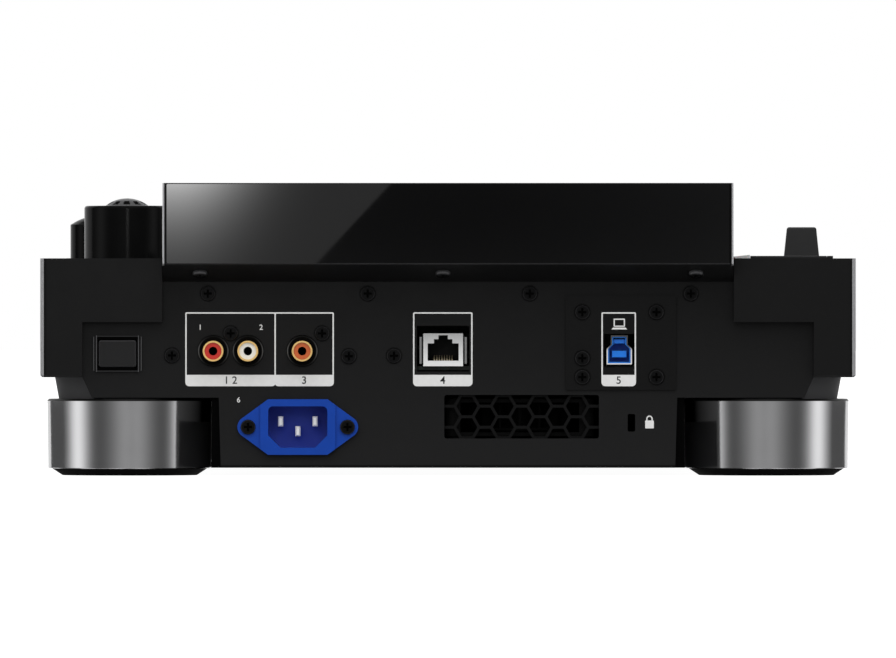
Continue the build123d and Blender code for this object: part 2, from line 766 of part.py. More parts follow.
def make_control_boards():
    """Two boards under the deck's side strips. The right one carries the encoder and the dial."""
    board_z = (board_low, board_top)
    left = block((-inner_half, -board_x), board_y, board_z)
    left -= block(around(lever_x, 11), around(lever_y, 9), inset(board_z, -1))
    right = block((board_x, inner_half), board_y, board_z)
    bodies = ((selector_site, 8.0, 2.0, board_low - 0.5), (jog_adjust_site, 7.0, 1.0, board_top))
    for (x, y), half, depth, bore_low in bodies:
        right += block(around(x, half), around(y, half), (board_low - depth, roof_low))
        right -= post(x, y, (bore_low, deck_top), shaft_radius + running_gap)
    return Compound([left, right])


def make_direction_lever():
    """Paddle that rocks about a pin under the deck."""
    top = deck_top + 13.6
    side = mirrored([(lever_top_half, top), (lever_half, deck_top + 1), (lever_half, lever_pivot_z + 1)])
    outline = [(lever_x + dx, z) for dx, z in side]
    paddle = prism_y(outline, around(lever_y, lever_hub_radius))
    paddle = fillet(paddle.edges().group_by(Axis.Z)[-1], 1.0)
    hub = bar_x(lever_y, lever_pivot_z, around(lever_x, lever_half), lever_hub_radius)
    return paddle + hub + bar_x(lever_y, lever_pivot_z, around(lever_x, lever_half + 2.5), lever_pin_radius)


def make_media_sockets():
    """Block under the door with a stick socket and a card slot facing up."""
    x, y = inset(door_x, media_margin + 0.3), inset(door_y, 3.3)
    body = block(x, y, (media_low, deck_seat))
    body += block((x[0] - 3, x[1] + 3), (y[0] - 3, y[1] + 3), (roof_low - 2, roof_low))
    middle = (x[0] + x[1]) / 2
    stick_y, card_y = y[0] + 9.0, y[1] - 8.0
    body -= block(around(middle, 6.6), around(stick_y, 2.6), (media_low + 4, deck_top))
    body += block(around(middle, 5.4), (stick_y + 0.2, stick_y + 2.2), (media_low + 3, deck_seat - 2))
    return body - block(around(middle, 12.2), around(card_y, 1.3), (media_low + 4, deck_top))


def make_usb_door():
    high = hinge_z + hinge_radius
    x = inset(door_x, hinge_lug + door_gap)
    door = slab(x, (door_y[0], hinge_y - door_gap), (high - door_thickness, high), 1.2)
    door += bar_x(hinge_y, hinge_z, inset(door_x, hinge_lug + hinge_gap), hinge_radius)
    return door + bar_x(hinge_y, hinge_z, inset(door_x, 0.2), hinge_pin_radius)


def make_usb_light_strip():
    x = (-display_half - 7.0, -display_half - 0.7)
    outline = [(x[0], deck_top), (x[1], deck_top), (x[1], deck_top + 0.8), (x[0], deck_top + 1.5)]
    return prism_y(outline, door_y)


# ---------------------------------------------------------------- rear sockets
def make_power_switch_frame():
    face = (panel_outer, panel_outer + 1.2)
    frame = rear_slab(power_x, power_z, face, 1.0)
    frame += block(inset(power_x, 1.3), (panel_outer - 22, panel_outer + 0.5), inset(power_z, 1.05))
    frame -= rear_slab(inset(power_x, 1.55), inset(power_z, 0.65), (face[1] - 0.8, face[1] + 1), 0.6)
    for x in inset(power_x, 0.65):
        frame -= block(around(x, 0.3), (face[1] - 0.5, face[1] + 1), power_z)
    hollow_y = (panel_outer - 20.5, face[1] + 1)
    return frame - rear_slab(inset(power_x, 1.9), inset(power_z, 1.65), hollow_y, 0.6)


def make_power_button():
    depth = (panel_outer - 16.5, panel_outer + 0.9)
    button = rear_slab(inset(power_x, 2.2), inset(power_z, 1.95), depth, 0.9)
    return chamfer(button.edges().group_by(Axis.Y)[-1], 0.5)


def make_jack_block():
    """Black phono jack bodies: one for the stereo pair, one for the single jack."""
    blocks = []
    for group in rca_sites:
        edges = (min(group) - rca_pitch / 2, max(group) + rca_pitch / 2)
        body = block(edges, (panel_inner - 13, panel_inner), (socket_board_top, rca_z + 5.4))
        for x in group:
            collar_y = (panel_inner - 1, panel_outer + rca_collar_reach)
            body += bar_y(x, rca_z, collar_y, rca_collar_radius)
            body -= bar_y(x, rca_z, (panel_inner - 9.5, panel_outer + 2), rca_root_radius + 0.02)
        blocks.append(body)
    return Compound(blocks)


def make_jack_shells():
    """Metal phono shells: a narrow root inside the body and the barrel that a plug slides over."""
    root = (panel_inner - 9.5, panel_outer + rca_collar_reach + rca_seat_gap)
    barrel = (root[1], panel_outer + rca_reach)
    shells = []
    for x in rca_xs:
        shell = bar_y(x, rca_z, root, rca_root_radius) + bar_y(x, rca_z, barrel, rca_shell_radius)
        shells.append(shell - bar_y(x, rca_z, (root[0], barrel[1]), rca_hole_radius))
    return Compound(shells)


def make_jack_inserts():
    """Plastic liners of the phono jacks, each with the hole for the plug's pin."""
    span = (panel_inner - 9.5, panel_outer + rca_reach - 0.6)
    outer, pin_hole = rca_hole_radius - 0.02, 1.75
    return Compound([bar_y(x, rca_z, span, outer) - bar_y(x, rca_z, span, pin_hole) for x in rca_xs])


def make_link_socket():
    """Metal network socket with a stepped latch opening and two side springs."""
    x, low, high = (link_x - 8.0, link_x + 8.0), socket_board_top, 57.4
    shield = block(x, (panel_outer - 16, panel_outer), (low, high))
    depth = (panel_outer - 14, panel_outer + 1)
    shield -= block((link_x - 6.25, link_x + 6.25), depth, (low + 2.2, 53.4))
    shield -= block((link_x - 3.7, link_x + 3.7), depth, (53.0, 55.1))
    shield -= block((link_x - 1.9, link_x + 1.9), depth, (55.0, 56.7))
    for side in (-1, 1):
        spring = sorted((link_x + side * 8.7, link_x + side * 9.5))
        web = sorted((link_x + side * 7.9, link_x + side * 9.5))
        shield += block(spring, (panel_outer - 9, panel_outer - 0.6), (45.2, 56.0))
        shield += block(web, (panel_outer - 9, panel_outer - 8), (45.2, 56.0))
    return shield


def make_link_contacts():
    contacts = []
    for index in range(8):
        x = link_x + (index - 3.5) * 1.02
        floor = socket_board_top + 2.2
        profile = [
            (panel_outer - 14, floor),
            (panel_outer - 14, floor + 2.2),
            (panel_outer - 13.5, floor + 2.2),
            (panel_outer - 4, floor + 0.5),
            (panel_outer - 4, floor),
        ]
        contacts.append(prism_x(profile, (x - 0.25, x + 0.25)))
    return Compound(contacts)


def usb_outline(margin):
    """House-shaped outline of the type B socket, grown by a margin."""
    low, shoulder, roof = socket_board_top + 0.7, 51.2, 56.6
    return [
        (usb_x + 5.1 + margin, low - margin),
        (usb_x + 5.1 + margin, shoulder),
        (usb_x + 3.4 + margin, shoulder + 1.7),
        (usb_x + 3.4 + margin, roof + margin),
        (usb_x - 3.4 - margin, roof + margin),
        (usb_x - 3.4 - margin, shoulder + 1.7),
        (usb_x - 5.1 - margin, shoulder),
        (usb_x - 5.1 - margin, low - margin),
    ]


def make_usb_b_socket():
    shell = prism_y(usb_outline(0), (panel_outer - 14, panel_outer + 1.0))
    shell -= prism_y(usb_outline(-0.5), (panel_outer - 15, panel_outer + 2))
    foot_z = (socket_board_top, socket_board_top + 0.7)
    return shell + block(around(usb_x, 5.1), (panel_outer - 14, panel_inner), foot_z)


def make_usb_b_tongue():
    """Plastic liner of the socket with its two contact tongues."""
    insert = prism_y(usb_outline(-0.5), (panel_outer - 14, panel_outer + 0.2))
    insert -= prism_y(usb_outline(-1.0), (panel_outer - 12, panel_outer + 1))
    tongue_y = (panel_outer - 13, panel_outer - 1.5)
    insert += block(around(usb_x, 2.9), tongue_y, (47.8, 50.4))
    return insert + block(around(usb_x, 2.2), tongue_y, (53.4, 55.0))


def inlet_flange_outline():
    """Flat mouth between two rounded screw ears, as one face round the inlet's centre."""
    ear = inlet_screw_pitch / 2
    edges = list(Rectangle(inlet_flat, inlet_height).edges())
    for side in (-1, 1):
        edges += list((Pos(side * ear, 0) * Circle(inlet_ear_radius)).edges())
    return make_hull(edges)


def make_ac_inlet():
    """Mains inlet: eared flange, raised mouth and a shrouded cavity with two cut corners."""
    face = Pos(inlet_x, panel_outer, inlet_z) * Rot(-90, 0, 0)
    mouth, half_h = 15.15, inlet_height / 2
    flange = face * extrude(inlet_flange_outline(), 2.0)
    raised = face * extrude(inlet_flange_outline(), 3.2)
    raised &= block(around(inlet_x, mouth), (panel_outer, panel_outer + 4), around(inlet_z, half_h))
    body = block(around(inlet_x, 13.7), (panel_outer - 17, panel_outer + 0.5), around(inlet_z, 9.9))
    half_x, half_z, cut = 11.95, 8.35, 5.0
    cavity = mirrored([(half_x, half_z), (half_x, cut - half_z), (half_x - cut, -half_z)])
    outline = [(inlet_x + px, inlet_z + pz) for px, pz in cavity]
    hollow = prism_y(outline, (panel_outer - 14.5, panel_outer + 4))
    along = hollow.edges().filter_by(Axis.Y)
    hollow = fillet(along.group_by(Axis.Z)[-1], 2.0)
    inlet = flange + raised + body - hollow
    for x, z in inlet_screw_sites:
        inlet -= bar_y(x, z, (panel_outer - 1, panel_outer + 3), screw_hole_radius)
    return inlet


def make_ac_inlet_pins():
    centres = [(inlet_x - 6.95, 21.9), (inlet_x + 6.95, 21.9), (inlet_x, 17.95)]
    depth = (panel_outer - 14.5, panel_outer - 0.5)
    pins = [block(around(x, 1), depth, around(z, 2)) for x, z in centres]
    return Compound([chamfer(pin.edges().group_by(Axis.Y)[-1], 0.5) for pin in pins])


def make_foot_screws():
    """Head inside the foot, shank up into the chassis."""
    screws = []
    for x, y in foot_sites:
        head = post(x, y, (foot_cavity_top - 3.5, foot_cavity_top), 5.0)
        screws.append(head + post(x, y, (foot_cavity_top - 0.5, flange_top - 0.5), foot_screw_radius))
    return screws


def make_screws():
    """Every fastener: sockets, covers, display underside and feet."""
    seats = [rear_seat(x, z, panel_outer - screw_sink) for x, z in panel_screw_sites]
    seats += [rear_seat(x, z, panel_outer + 1.0 - screw_sink) for x, z in plate_screw_sites]
    seats += [rear_seat(x, z, panel_outer + 2.0) for x, z in inlet_screw_sites]
    seats += [lip_seat(x) for x in lip_screw_xs]
    return Compound([seat * screw() for seat in seats] + make_foot_screws())


# ---------------------------------------------------------------- electronics and blower
def make_main_board():
    low, top = socket_board_top - 1.6, socket_board_top
    board = block(main_board_x, (panel_inner - 118, panel_inner - 1.5), (low, top))
    chips = [(-60, 60, 22, 4), (20, 65, 34, 9), (70, 80, 18, 3), (-20, 100, 16, 3), (-75, 103, 20, 6)]
    for x, setback, size, height in chips:
        y = panel_inner - setback
        board += block(around(x, size / 2), around(y, size / 2), (top - 0.2, top + height))
    return board


def make_power_supply_board():
    top = supply_low + 1.6
    board = block(supply_x, supply_y, (supply_low, top))
    left, right = supply_x
    front = supply_y[0]
    board += block((left + 12, left + 44), (front + 40, front + 76), (top - 0.2, 27))
    board += block((right - 26, right - 20), (front + 20, front + 80), (top - 0.2, 26))
    cans = ((left + 22, 100, 8), (left + 42, 105, 8), (right - 16, 100, 5))
    for x, along, radius in cans:
        board += post(x, front + along, (top - 0.2, 27), radius)
    return board


def make_fan_frame():
    """Blower housing with an opening above the rotor and an outlet towards the grille."""
    floor, roof = blower_z[0] + 1.5, blower_z[1] - 1.5
    x, y = rotor_site
    frame = slab(blower_x, blower_y, blower_z, 3.0)
    hollow = post(x, y, (floor, roof), 24) + block((x - 24, x + 24), (y, blower_y[1] + 1), (floor, roof))
    frame -= hollow
    frame -= post(x, y, (roof - 1, blower_z[1] + 1), 17)
    frame += post(x, y, (floor - 0.5, floor + 9), 2.0)
    for fx in (blower_x[0] + 4, blower_x[1] - 4):
        for fy in (blower_y[0] + 4, blower_y[1] - 4):
            frame += post(fx, fy, (pan_floor + sheet, blower_z[0] + 0.5), 3.0)
    return frame


def make_fan_rotor():
    x, y = rotor_site
    low, high = blower_z[0] + 2.2, blower_z[1] - 2.2
    rotor = post(x, y, (low, high), 9) + post(x, y, (low, low + 1), 21)
    blade = block((14.5, 21), (-0.4, 0.4), (low + 0.5, high))
    for index in range(16):
        rotor += Pos(x, y, 0) * Rot(0, 0, index * 22.5) * blade
    return rotor - post(x, y, (low - 1, low + 9), 2.0 + running_gap)


# ---------------------------------------------------------------- disc drive
def make_drive_frame():
    half, wall = drive_width / 2, 1.5
    frame = block((-half, half), drive_y, (drive_low, drive_high))
    inside_y = (drive_y[0] + wall, drive_y[1] - wall)
    frame -= block((-half + wall, half - wall), inside_y, (drive_low + wall, drive_high - wall))
    mouth = disc_slot_width / 2
    slot_z = (disc_slot_low, disc_slot_low + disc_slot_height)
    frame -= block((-mouth, mouth), (drive_y[0] - 1, inside_y[0] + 1), slot_z)
    for side in (-1, 1):
        ends = sorted((side * (half - wall - 1), side * (half + 1)))
        frame -= bar_x(roller_y, roller_z, ends, roller_shaft_radius + running_gap)
        stand = sorted((side * (rod_x - 4), side * (rod_x + 4)))
        frame += block(stand, (sled_y[0] - 6, sled_y[0] - 4), (drive_low + 1, rod_z + 3))
        frame += bar_y(side * rod_x, rod_z, (sled_y[0] - 5, inside_y[1] + 0.5), rod_radius)
        for y in (drive_y[0] + 18, drive_y[1] - 13):
            frame += post(side * (half - 8), y, (tray_floor + sheet, drive_low + 0.5), 4.0)
    motor = post(0, turntable_y, (drive_low + 1, 52), 10)
    motor -= post(0, turntable_y, (47, 53), roller_shaft_radius + running_gap)
    return frame + motor


def make_drive_turntable():
    hub = post(0, turntable_y, (53, turntable_top), 16)
    return hub + post(0, turntable_y, (47.2, 53.5), roller_shaft_radius)


def make_loading_roller():
    half = drive_width / 2
    roller = bar_x(roller_y, roller_z, around(0, disc_slot_width / 2 - 1), roller_radius)
    return roller + bar_x(roller_y, roller_z, around(0, half - 0.2), roller_shaft_radius)


def make_pickup_sled():
    sled = block((-rod_x - 4, rod_x + 4), sled_y, (47, 54))
    for side in (-1, 1):
        sled -= bar_y(side * rod_x, rod_z, (sled_y[0] - 1, sled_y[1] + 1), rod_radius + running_gap)
    return sled + post(0, (sled_y[0] + sled_y[1]) / 2, (53.5, 55.5), 4.0)


def make_slot_bezel():
    half, margin = disc_slot_width / 2, 5.5
    z = (disc_slot_low - 3, disc_slot_low + disc_slot_height + 3)
    bezel = block((-half - margin, half + margin), (front_y, drive_y[0]), z)
    mouth_z = (disc_slot_low, disc_slot_low + disc_slot_height)
    return bezel - block((-half, half), (front_y - 1, drive_y[0] + 1), mouth_z)


# ---------------------------------------------------------------- write every sub-part
def all_parts():
    parts = {
        "upper_case": make_upper_case(),
        "deck_plate": make_deck_plate(),
        "bottom_chassis": make_bottom_chassis(),
        "rear_panel": make_rear_panel(),
        "usb_cover_plate": make_usb_cover_plate(),
        "vent_grille": make_vent_grille(),
        "foot_shells": make_foot_shells(),
        "foot_pads": make_foot_pads(),
        "display_housing": make_display_housing(),
        "display_back_cover": make_display_back_cover(),
        "display_glass": make_display_glass(),
        "display_panel": make_display_panel(),
        "menu_keys": make_menu_keys(),
        "jog_base": make_jog_base(),
        "jog_bearing": make_jog_bearing(),
        "jog_platter": make_jog_platter(),
        "jog_ring": make_jog_ring(),
        "jog_display": make_jog_display(),
        "jog_lens": make_jog_lens(),
        "tempo_fader_body": make_tempo_fader_body(),
        "tempo_knob": make_tempo_knob(),
        "rotary_selector": make_rotary_selector(),
        "selector_shaft": make_selector_shaft(),
        "jog_adjust_knob": make_jog_adjust_knob(),
        "control_boards": make_control_boards(),
        "direction_lever": make_direction_lever(),
        "media_sockets": make_media_sockets(),
        "usb_door": make_usb_door(),
        "usb_light_strip": make_usb_light_strip(),
        "power_switch_frame": make_power_switch_frame(),
        "power_button": make_power_button(),
        "jack_block": make_jack_block(),
        "jack_shells": make_jack_shells(),
        "jack_inserts": make_jack_inserts(),
        "link_socket": make_link_socket(),
        "link_contacts": make_link_contacts(),
        "usb_b_socket": make_usb_b_socket(),
        "usb_b_tongue": make_usb_b_tongue(),
        "ac_inlet": make_ac_inlet(),
        "ac_inlet_pins": make_ac_inlet_pins(),
        "screws": make_screws(),
        "main_board": make_main_board(),
        "power_supply_board": make_power_supply_board(),
        "fan_frame": make_fan_frame(),
        "fan_rotor": make_fan_rotor(),
        "drive_frame": make_drive_frame(),
        "drive_turntable": make_drive_turntable(),
        "loading_roller": make_loading_roller(),
        "pickup_sled": make_pickup_sled(),
        "slot_bezel": make_slot_bezel(),
        "play_button": round_key(play_site),
        "cue_button": round_key(cue_site),
        "eject_key": flat_key(eject_site),
        "hot_cue_keys": Compound([flat_key(site) for site in cue_sites]),
        "loop_keys": Compound([flat_key(site) for site in loop_sites]),
        "tempo_keys": Compound([flat_key(site) for site in tempo_sites]),
    }
    for name, site in search_keys.items():
        parts[name] = flat_key(site)
    return parts


os.makedirs("parts", exist_ok=True)
for name, solid in all_parts().items():
    export_step(solid, f"parts/{name}.step")
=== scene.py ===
"""Finishes, printed marks and studio for a tabletop media deck seen from its sockets' side.

Run as a script inside Blender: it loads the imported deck, gives every part its finish,
prints the marks on it and builds the studio round it. Lengths are in metres.
"""

import math

import bmesh
import bpy
from bpy.props import FloatProperty, FloatVectorProperty, PointerProperty
from mathutils import Matrix, Vector


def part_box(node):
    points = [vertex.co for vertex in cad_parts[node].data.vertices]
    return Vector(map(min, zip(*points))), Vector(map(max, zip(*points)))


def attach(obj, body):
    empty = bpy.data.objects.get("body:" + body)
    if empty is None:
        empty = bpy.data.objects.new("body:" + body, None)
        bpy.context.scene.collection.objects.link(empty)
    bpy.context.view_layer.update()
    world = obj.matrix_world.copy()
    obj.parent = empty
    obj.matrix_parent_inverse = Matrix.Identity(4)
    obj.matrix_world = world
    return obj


bl_info = {
    "name": "Media Deck Looks",
    "version": (1, 0, 0),
    "blender": (4, 5, 0),
    "location": "View3D > Sidebar > Media Deck",
    "description": "Finishes, printed marks and studio for a tabletop media deck",
    "category": "Object",
}

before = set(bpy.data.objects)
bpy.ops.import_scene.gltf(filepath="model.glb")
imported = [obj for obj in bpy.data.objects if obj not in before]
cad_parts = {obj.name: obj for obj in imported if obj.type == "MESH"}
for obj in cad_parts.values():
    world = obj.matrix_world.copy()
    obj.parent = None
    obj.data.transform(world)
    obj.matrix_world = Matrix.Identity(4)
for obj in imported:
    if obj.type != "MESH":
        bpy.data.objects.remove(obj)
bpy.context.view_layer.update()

MM = 0.001

PANEL_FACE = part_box("rear_panel")[1][1]
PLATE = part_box("usb_cover_plate")
PLATE_FACE = PLATE[1][1]
DECK_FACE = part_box("deck_plate")[1][2]
KEY_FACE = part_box("hot_cue_keys")[1][2]
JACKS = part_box("jack_shells")
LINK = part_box("link_socket")
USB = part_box("usb_b_socket")
FOOT_RADIUS = 33.4 * MM


def middle(box, axis):
    """Middle of a box along one axis."""
    return (box[0][axis] + box[1][axis]) / 2


def half(box, axis):
    """Half of a box's size along one axis."""
    return (box[1][axis] - box[0][axis]) / 2


def centre_of(name):
    """Middle of a CAD part in plan."""
    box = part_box(name)
    return middle(box, 0), middle(box, 1)


# ---------------------------------------------------------------- sizes and colours a user may change
def length(name, description, default):
    return FloatProperty(name=name, description=description, default=default, unit="LENGTH", precision=5)


def ratio(name, description, default):
    return FloatProperty(name=name, description=description, default=default, min=0.0, subtype="FACTOR")


def tint(name, description, default):
    return FloatVectorProperty(
        name=name, description=description, default=default, size=3, min=0.0, max=1.0, subtype="COLOR"
    )


class DeckColours(bpy.types.PropertyGroup):
    """Colours of the deck's parts."""

    case: tint("Case", "Moulded case and wings", (0.006, 0.006, 0.0062))
    deck: tint("Deck", "Satin top plate", (0.0072, 0.0072, 0.0078))
    panel: tint("Panel", "Coated steel of the chassis and rear panel", (0.0058, 0.0058, 0.006))
    gloss: tint("Gloss", "High-gloss rear cover", (0.0034, 0.0034, 0.0036))
    foot: tint("Foot", "Polished metal of the feet", (0.62, 0.62, 0.63))
    rubber: tint("Rubber", "Foot pads and soft keys", (0.0035, 0.0035, 0.0035))
    lever: tint("Lever", "Paddle of the direction lever", (0.026, 0.026, 0.0265))
    inlet: tint("Mains inlet", "Blue plastic of the mains inlet", (0.002, 0.055, 0.4))
    # Inlet inside: lighter blue painted deep in the mains inlet as painted light.
    inlet_inside: tint("Inlet inside", "Blue plastic deep in the mains inlet", (0.035, 0.075, 0.5))
    collar: tint("Collar", "Black paint round the top of the feet", (0.006, 0.006, 0.006))
    usb: tint("Computer socket", "Blue plastic of the computer socket", (0.006, 0.22, 0.84))
    jack_right: tint("Right jack", "Insert of the first phono jack", (0.66, 0.018, 0.005))
    jack_left: tint("Left jack", "Insert of the second phono jack", (1.0, 0.97, 0.88))
    jack_digital: tint("Digital jack", "Insert of the single phono jack", (0.68, 0.13, 0.02))
    # Screw: colour of the painted highlight on the screws' rims; their flats and crosses are darker copies
    # of it.
    screw: tint("Screw", "Worn rims of the screws' heads", (0.03, 0.03, 0.031))
    # Edge highlight: colour of the painted highlight on the upright corners of the case and the display.
    edge: tint("Edge", "Burnished upright corners of the case and the display", (0.44, 0.44, 0.45))
    gilt: tint("Gilt", "Gilt shells of the phono jacks", (1.0, 0.66, 0.24))
    white_ink: tint("White ink", "Printed marks", (0.88, 0.88, 0.87))
    black_ink: tint("Black ink", "Numbers on the printed bars", (0.02, 0.02, 0.02))


class MarkSizes(bpy.types.PropertyGroup):
    """Sizes of the printed marks."""

    ink: length("Ink", "Thickness of the printed ink", 0.05 * MM)
    line: length("Line", "Width of the lines round the sockets", 0.56 * MM)
    frame_top: length("Frame top", "Height of the upper edge of the frames", 65.95 * MM)
    frame_bottom: length("Frame bottom", "Height of the lower edge of the frames", 36.1 * MM)
    bar: length("Bar", "Height of the solid bar under a socket", 4.6 * MM)
    number: length("Number", "Height of the numbers on the bars", 3.0 * MM)
    small_number: length("Small number", "Height of the numbers beside the sockets", 2.1 * MM)


class StudioSetup(bpy.types.PropertyGroup):
    """Camera, lamps and reflectors."""

    lens: FloatProperty(name="Lens", description="Focal length in millimetres", default=696.9, min=10.0)
    distance: length("Distance", "Camera's distance behind the deck's middle", 7.21)
    height: length("Height", "Camera's height", 0.0592)
    daylight: ratio("Daylight", "Brightness of the world as matt surfaces see it", 0.7)
    lamp: ratio("Lamp", "Strength of the soft lamps", 1.3)
    drum_radius: length("Drum radius", "Radius of the reflecting drum", 2.2)
    drum_height: length("Drum height", "Height of the reflecting drum", 1.9)
    floor_radius: length("Floor radius", "Radius of the pale floor", 40.0)


# ---------------------------------------------------------------- shader expressions
class Signal:
    """A number at some shader node's output. Arithmetic on it adds Math nodes."""

    def __init__(self, finish, socket):
        self.finish = finish
        self.socket = socket

    def math(self, operation, other=0.0, reflected=False):
        """This number worked on with another one, which comes first where reflected."""
        terms = (other, self) if reflected else (self, other)
        return self.finish.node("ShaderNodeMath", {"operation": operation}, dict(enumerate(terms)))

    def __add__(self, other):
        return self.math("ADD", other)

    __radd__ = __add__

    def __sub__(self, other):
        return self.math("SUBTRACT", other)

    def __rsub__(self, other):
        return self.math("SUBTRACT", other, reflected=True)

    def __mul__(self, other):
        return self.math("MULTIPLY", other)

    __rmul__ = __mul__

    def __truediv__(self, other):
        return self.math("DIVIDE", other)

    def __gt__(self, other):
        return self.math("GREATER_THAN", other)

    def __lt__(self, other):
        return self.math("LESS_THAN", other)

    def __abs__(self):
        return self.math("ABSOLUTE")

    def bell(self, centre, width):
        """1 at centre, falling away on both sides over width."""
        offset = (self - centre) / width
        return (offset * offset * -1.0).math("EXPONENT")

    def limited(self):
        """The same number held between 0 and 1."""
        return self.math("MINIMUM", 1.0).math("MAXIMUM", 0.0)

    def ramp(self, start, end):
        """0 before start, 1 past end and an even slope between them."""
        return ((self - start) / (end - start)).limited()


class Finish:
    """One material, or the world, and the nodes that make it."""

    def __init__(self, name, kind="materials"):
        self.owner = getattr(bpy.data, kind).new(name)
        self.owner.use_nodes = True
        self.tree = self.owner.node_tree
        self.tree.nodes.clear()

    def node(self, kind, settings=None, values=None, output=0):
        """Adds a node, sets it up, feeds its sockets and returns one of its outputs."""
        node = self.tree.nodes.new(kind)
        for key, setting in (settings or {}).items():
            setattr(node, key, setting)
        for key, value in (values or {}).items():
            if isinstance(value, Signal):
                self.tree.links.new(value.socket, node.inputs[key])
            else:
                node.inputs[key].default_value = value
        return Signal(self, node.outputs[output]) if node.outputs else None

    def place(self):
        """Position on the part, in metres."""
        return self.node("ShaderNodeTexCoord", output=3)

    def along(self, axis):
        """Position along one axis: 0, 1 or 2."""
        return self.node("ShaderNodeSeparateXYZ", None, {0: self.place()}, axis)

    def axes(self):
        """Positions along all three axes."""
        return [self.along(axis) for axis in range(3)]

    def tilt(self):
        """0 where the surface faces the front or the back, 1 where it lies along them."""
        facing = self.node("ShaderNodeNewGeometry", output=1)
        return 1.0 - abs(self.node("ShaderNodeSeparateXYZ", None, {0: facing}, 1))

    def radius_from(self, point, flatten=(1, 1, 0)):
        """Distance from a line through a point: an upright one, or along the axis flatten drops."""
        flat = self.node("ShaderNodeVectorMath", {"operation": "MULTIPLY"}, {0: self.place(), 1: flatten})
        return self.node("ShaderNodeVectorMath", {"operation": "DISTANCE"}, {0: flat, 1: point}, 1)

    def corners(self, box, reach, depth):
        """1 on the upright corners of a box: within reach of its sides and depth of its ends."""
        side = abs(self.along(0) - middle(box, 0)) > half(box, 0) - reach
        end = abs(self.along(1) - middle(box, 1)) > half(box, 1) - depth
        return side * end

    def noise(self, size, detail=2.0, stretch=(1, 1, 1)):
        """Soft random pattern whose blotches are about size across."""
        place = self.node("ShaderNodeVectorMath", {"operation": "MULTIPLY"}, {0: self.place(), 1: stretch})
        return self.node("ShaderNodeTexNoise", None, {"Vector": place, "Scale": 1 / size, "Detail": detail})

    def lines(self, position, pitch):
        """Random fine lines across a position."""
        values = {"W": position * (1 / pitch), "Scale": 1.0, "Detail": 3.0}
        return self.node("ShaderNodeTexNoise", {"noise_dimensions": "1D"}, values)

    def blend(self, factor, first, second):
        """Colour between two colours."""
        return self.node("ShaderNodeMix", {"data_type": "RGBA"}, {0: factor, 6: first, 7: second}, 2)

    def mottled(self, colour, size, detail, dark, light):
        """A cloudy pattern, and the colour darkened and lightened by it."""
        cloud = self.noise(size, detail)
        return cloud, self.blend(cloud, rgba(colour, dark), rgba(colour, light))

    def relief(self, height, depth, strength=0.5):
        """Normal of a surface raised by height times depth."""
        values = {"Height": height, "Distance": depth, "Strength": strength}
        return self.node("ShaderNodeBump", None, values)

    def grain(self, size, depth, strength=0.5):
        """Normal of a surface with a fine grain."""
        return self.relief(self.noise(size), depth, strength)

    def ended(self, shader, output="ShaderNodeOutputMaterial"):
        """Ends the material, or the world, with a shader and returns it."""
        self.node(output, None, {"Surface": shader})
        return self.owner

    def surface(self, values):
        """Ends the material with a Principled shader."""
        return self.ended(self.node("ShaderNodeBsdfPrincipled", None, values))

    def white(self, kind, strength):
        """Shader that gives off white light."""
        return self.node(kind, None, {"Color": (1, 1, 1, 1), "Strength": strength})

    def glow(self, strength):
        """Ends the material as a lamp that isn't lit by others."""
        return self.ended(self.white("ShaderNodeEmission", strength))


def rgba(colour, level=1.0):
    """Colour with its alpha, brightened or darkened by level."""
    return (*[part * level for part in colour], 1.0)


# ---------------------------------------------------------------- finishes
def moulded(
    name, colour, roughness, grain=0.45 * MM, depth=0.02 * MM, specular=0.22,
    edge=None, painted_light_fade=None, lip=0.0, line=None,
):
    """Plastic or paint with a fine grain, cloudy tone and uneven sheen; painted shade below lip, nearly
    black.

    With edge, a (colour, box, reach, inset) tuple, the upright corners of the box get a painted
    highlight in that colour, mostly metallic, with a painted dark line beside it. With painted_light_fade,
    a (start height, end height, level) tuple, the colour changes to that level as painted light.
    With line, a height, a level edge at that height gets a painted highlight.
    """
    finish = Finish(name)
    cloud = finish.noise(38 * MM, 4.0)
    fleck = finish.noise(2.2 * MM, 3.0)
    tone = (cloud * 0.6 + fleck * 0.4).limited()
    body = finish.blend(tone, rgba(colour, 0.8), rgba(colour, 1.2))
    # Painted light: the colour changes with height.
    if painted_light_fade:
        *heights, level = painted_light_fade
        body = finish.blend(finish.along(2).ramp(*heights), body, rgba(colour, level))
    # Painted shade: the colour is nearly black below height lip.
    if lip:
        body = finish.blend(finish.along(2) < lip, body, rgba(colour, 0.1))
    # Painted highlight along a level edge at height line.
    if line:
        painted_highlight = finish.along(2).bell(line, 0.25 * MM) * (0.6 + tone * 0.8)
        body = finish.blend(painted_highlight.limited(), body, rgba(colour, 8.0))
    values = {
        "Base Color": body,
        "Roughness": roughness + (finish.noise(9 * MM, 3.0) - 0.5) * 0.16,
        "Normal": finish.grain(grain, depth, 0.6),
        "Specular IOR Level": specular,
    }
    # Painted highlight on the upright corners of the box, mostly metallic, with a painted dark line beside
    # it.
    if edge:
        highlight_colour, box, reach, inset = edge
        dark_line_width = 0.7 * MM
        corner = finish.corners(box, reach, inset)
        groove_and_dark_line = finish.corners(box, reach + dark_line_width, inset)
        body = finish.blend(groove_and_dark_line, body, rgba(colour, 0.2))
        values["Base Color"] = finish.blend(corner, body, rgba(highlight_colour))
        values["Metallic"] = corner * 0.9
    return finish.surface(values)


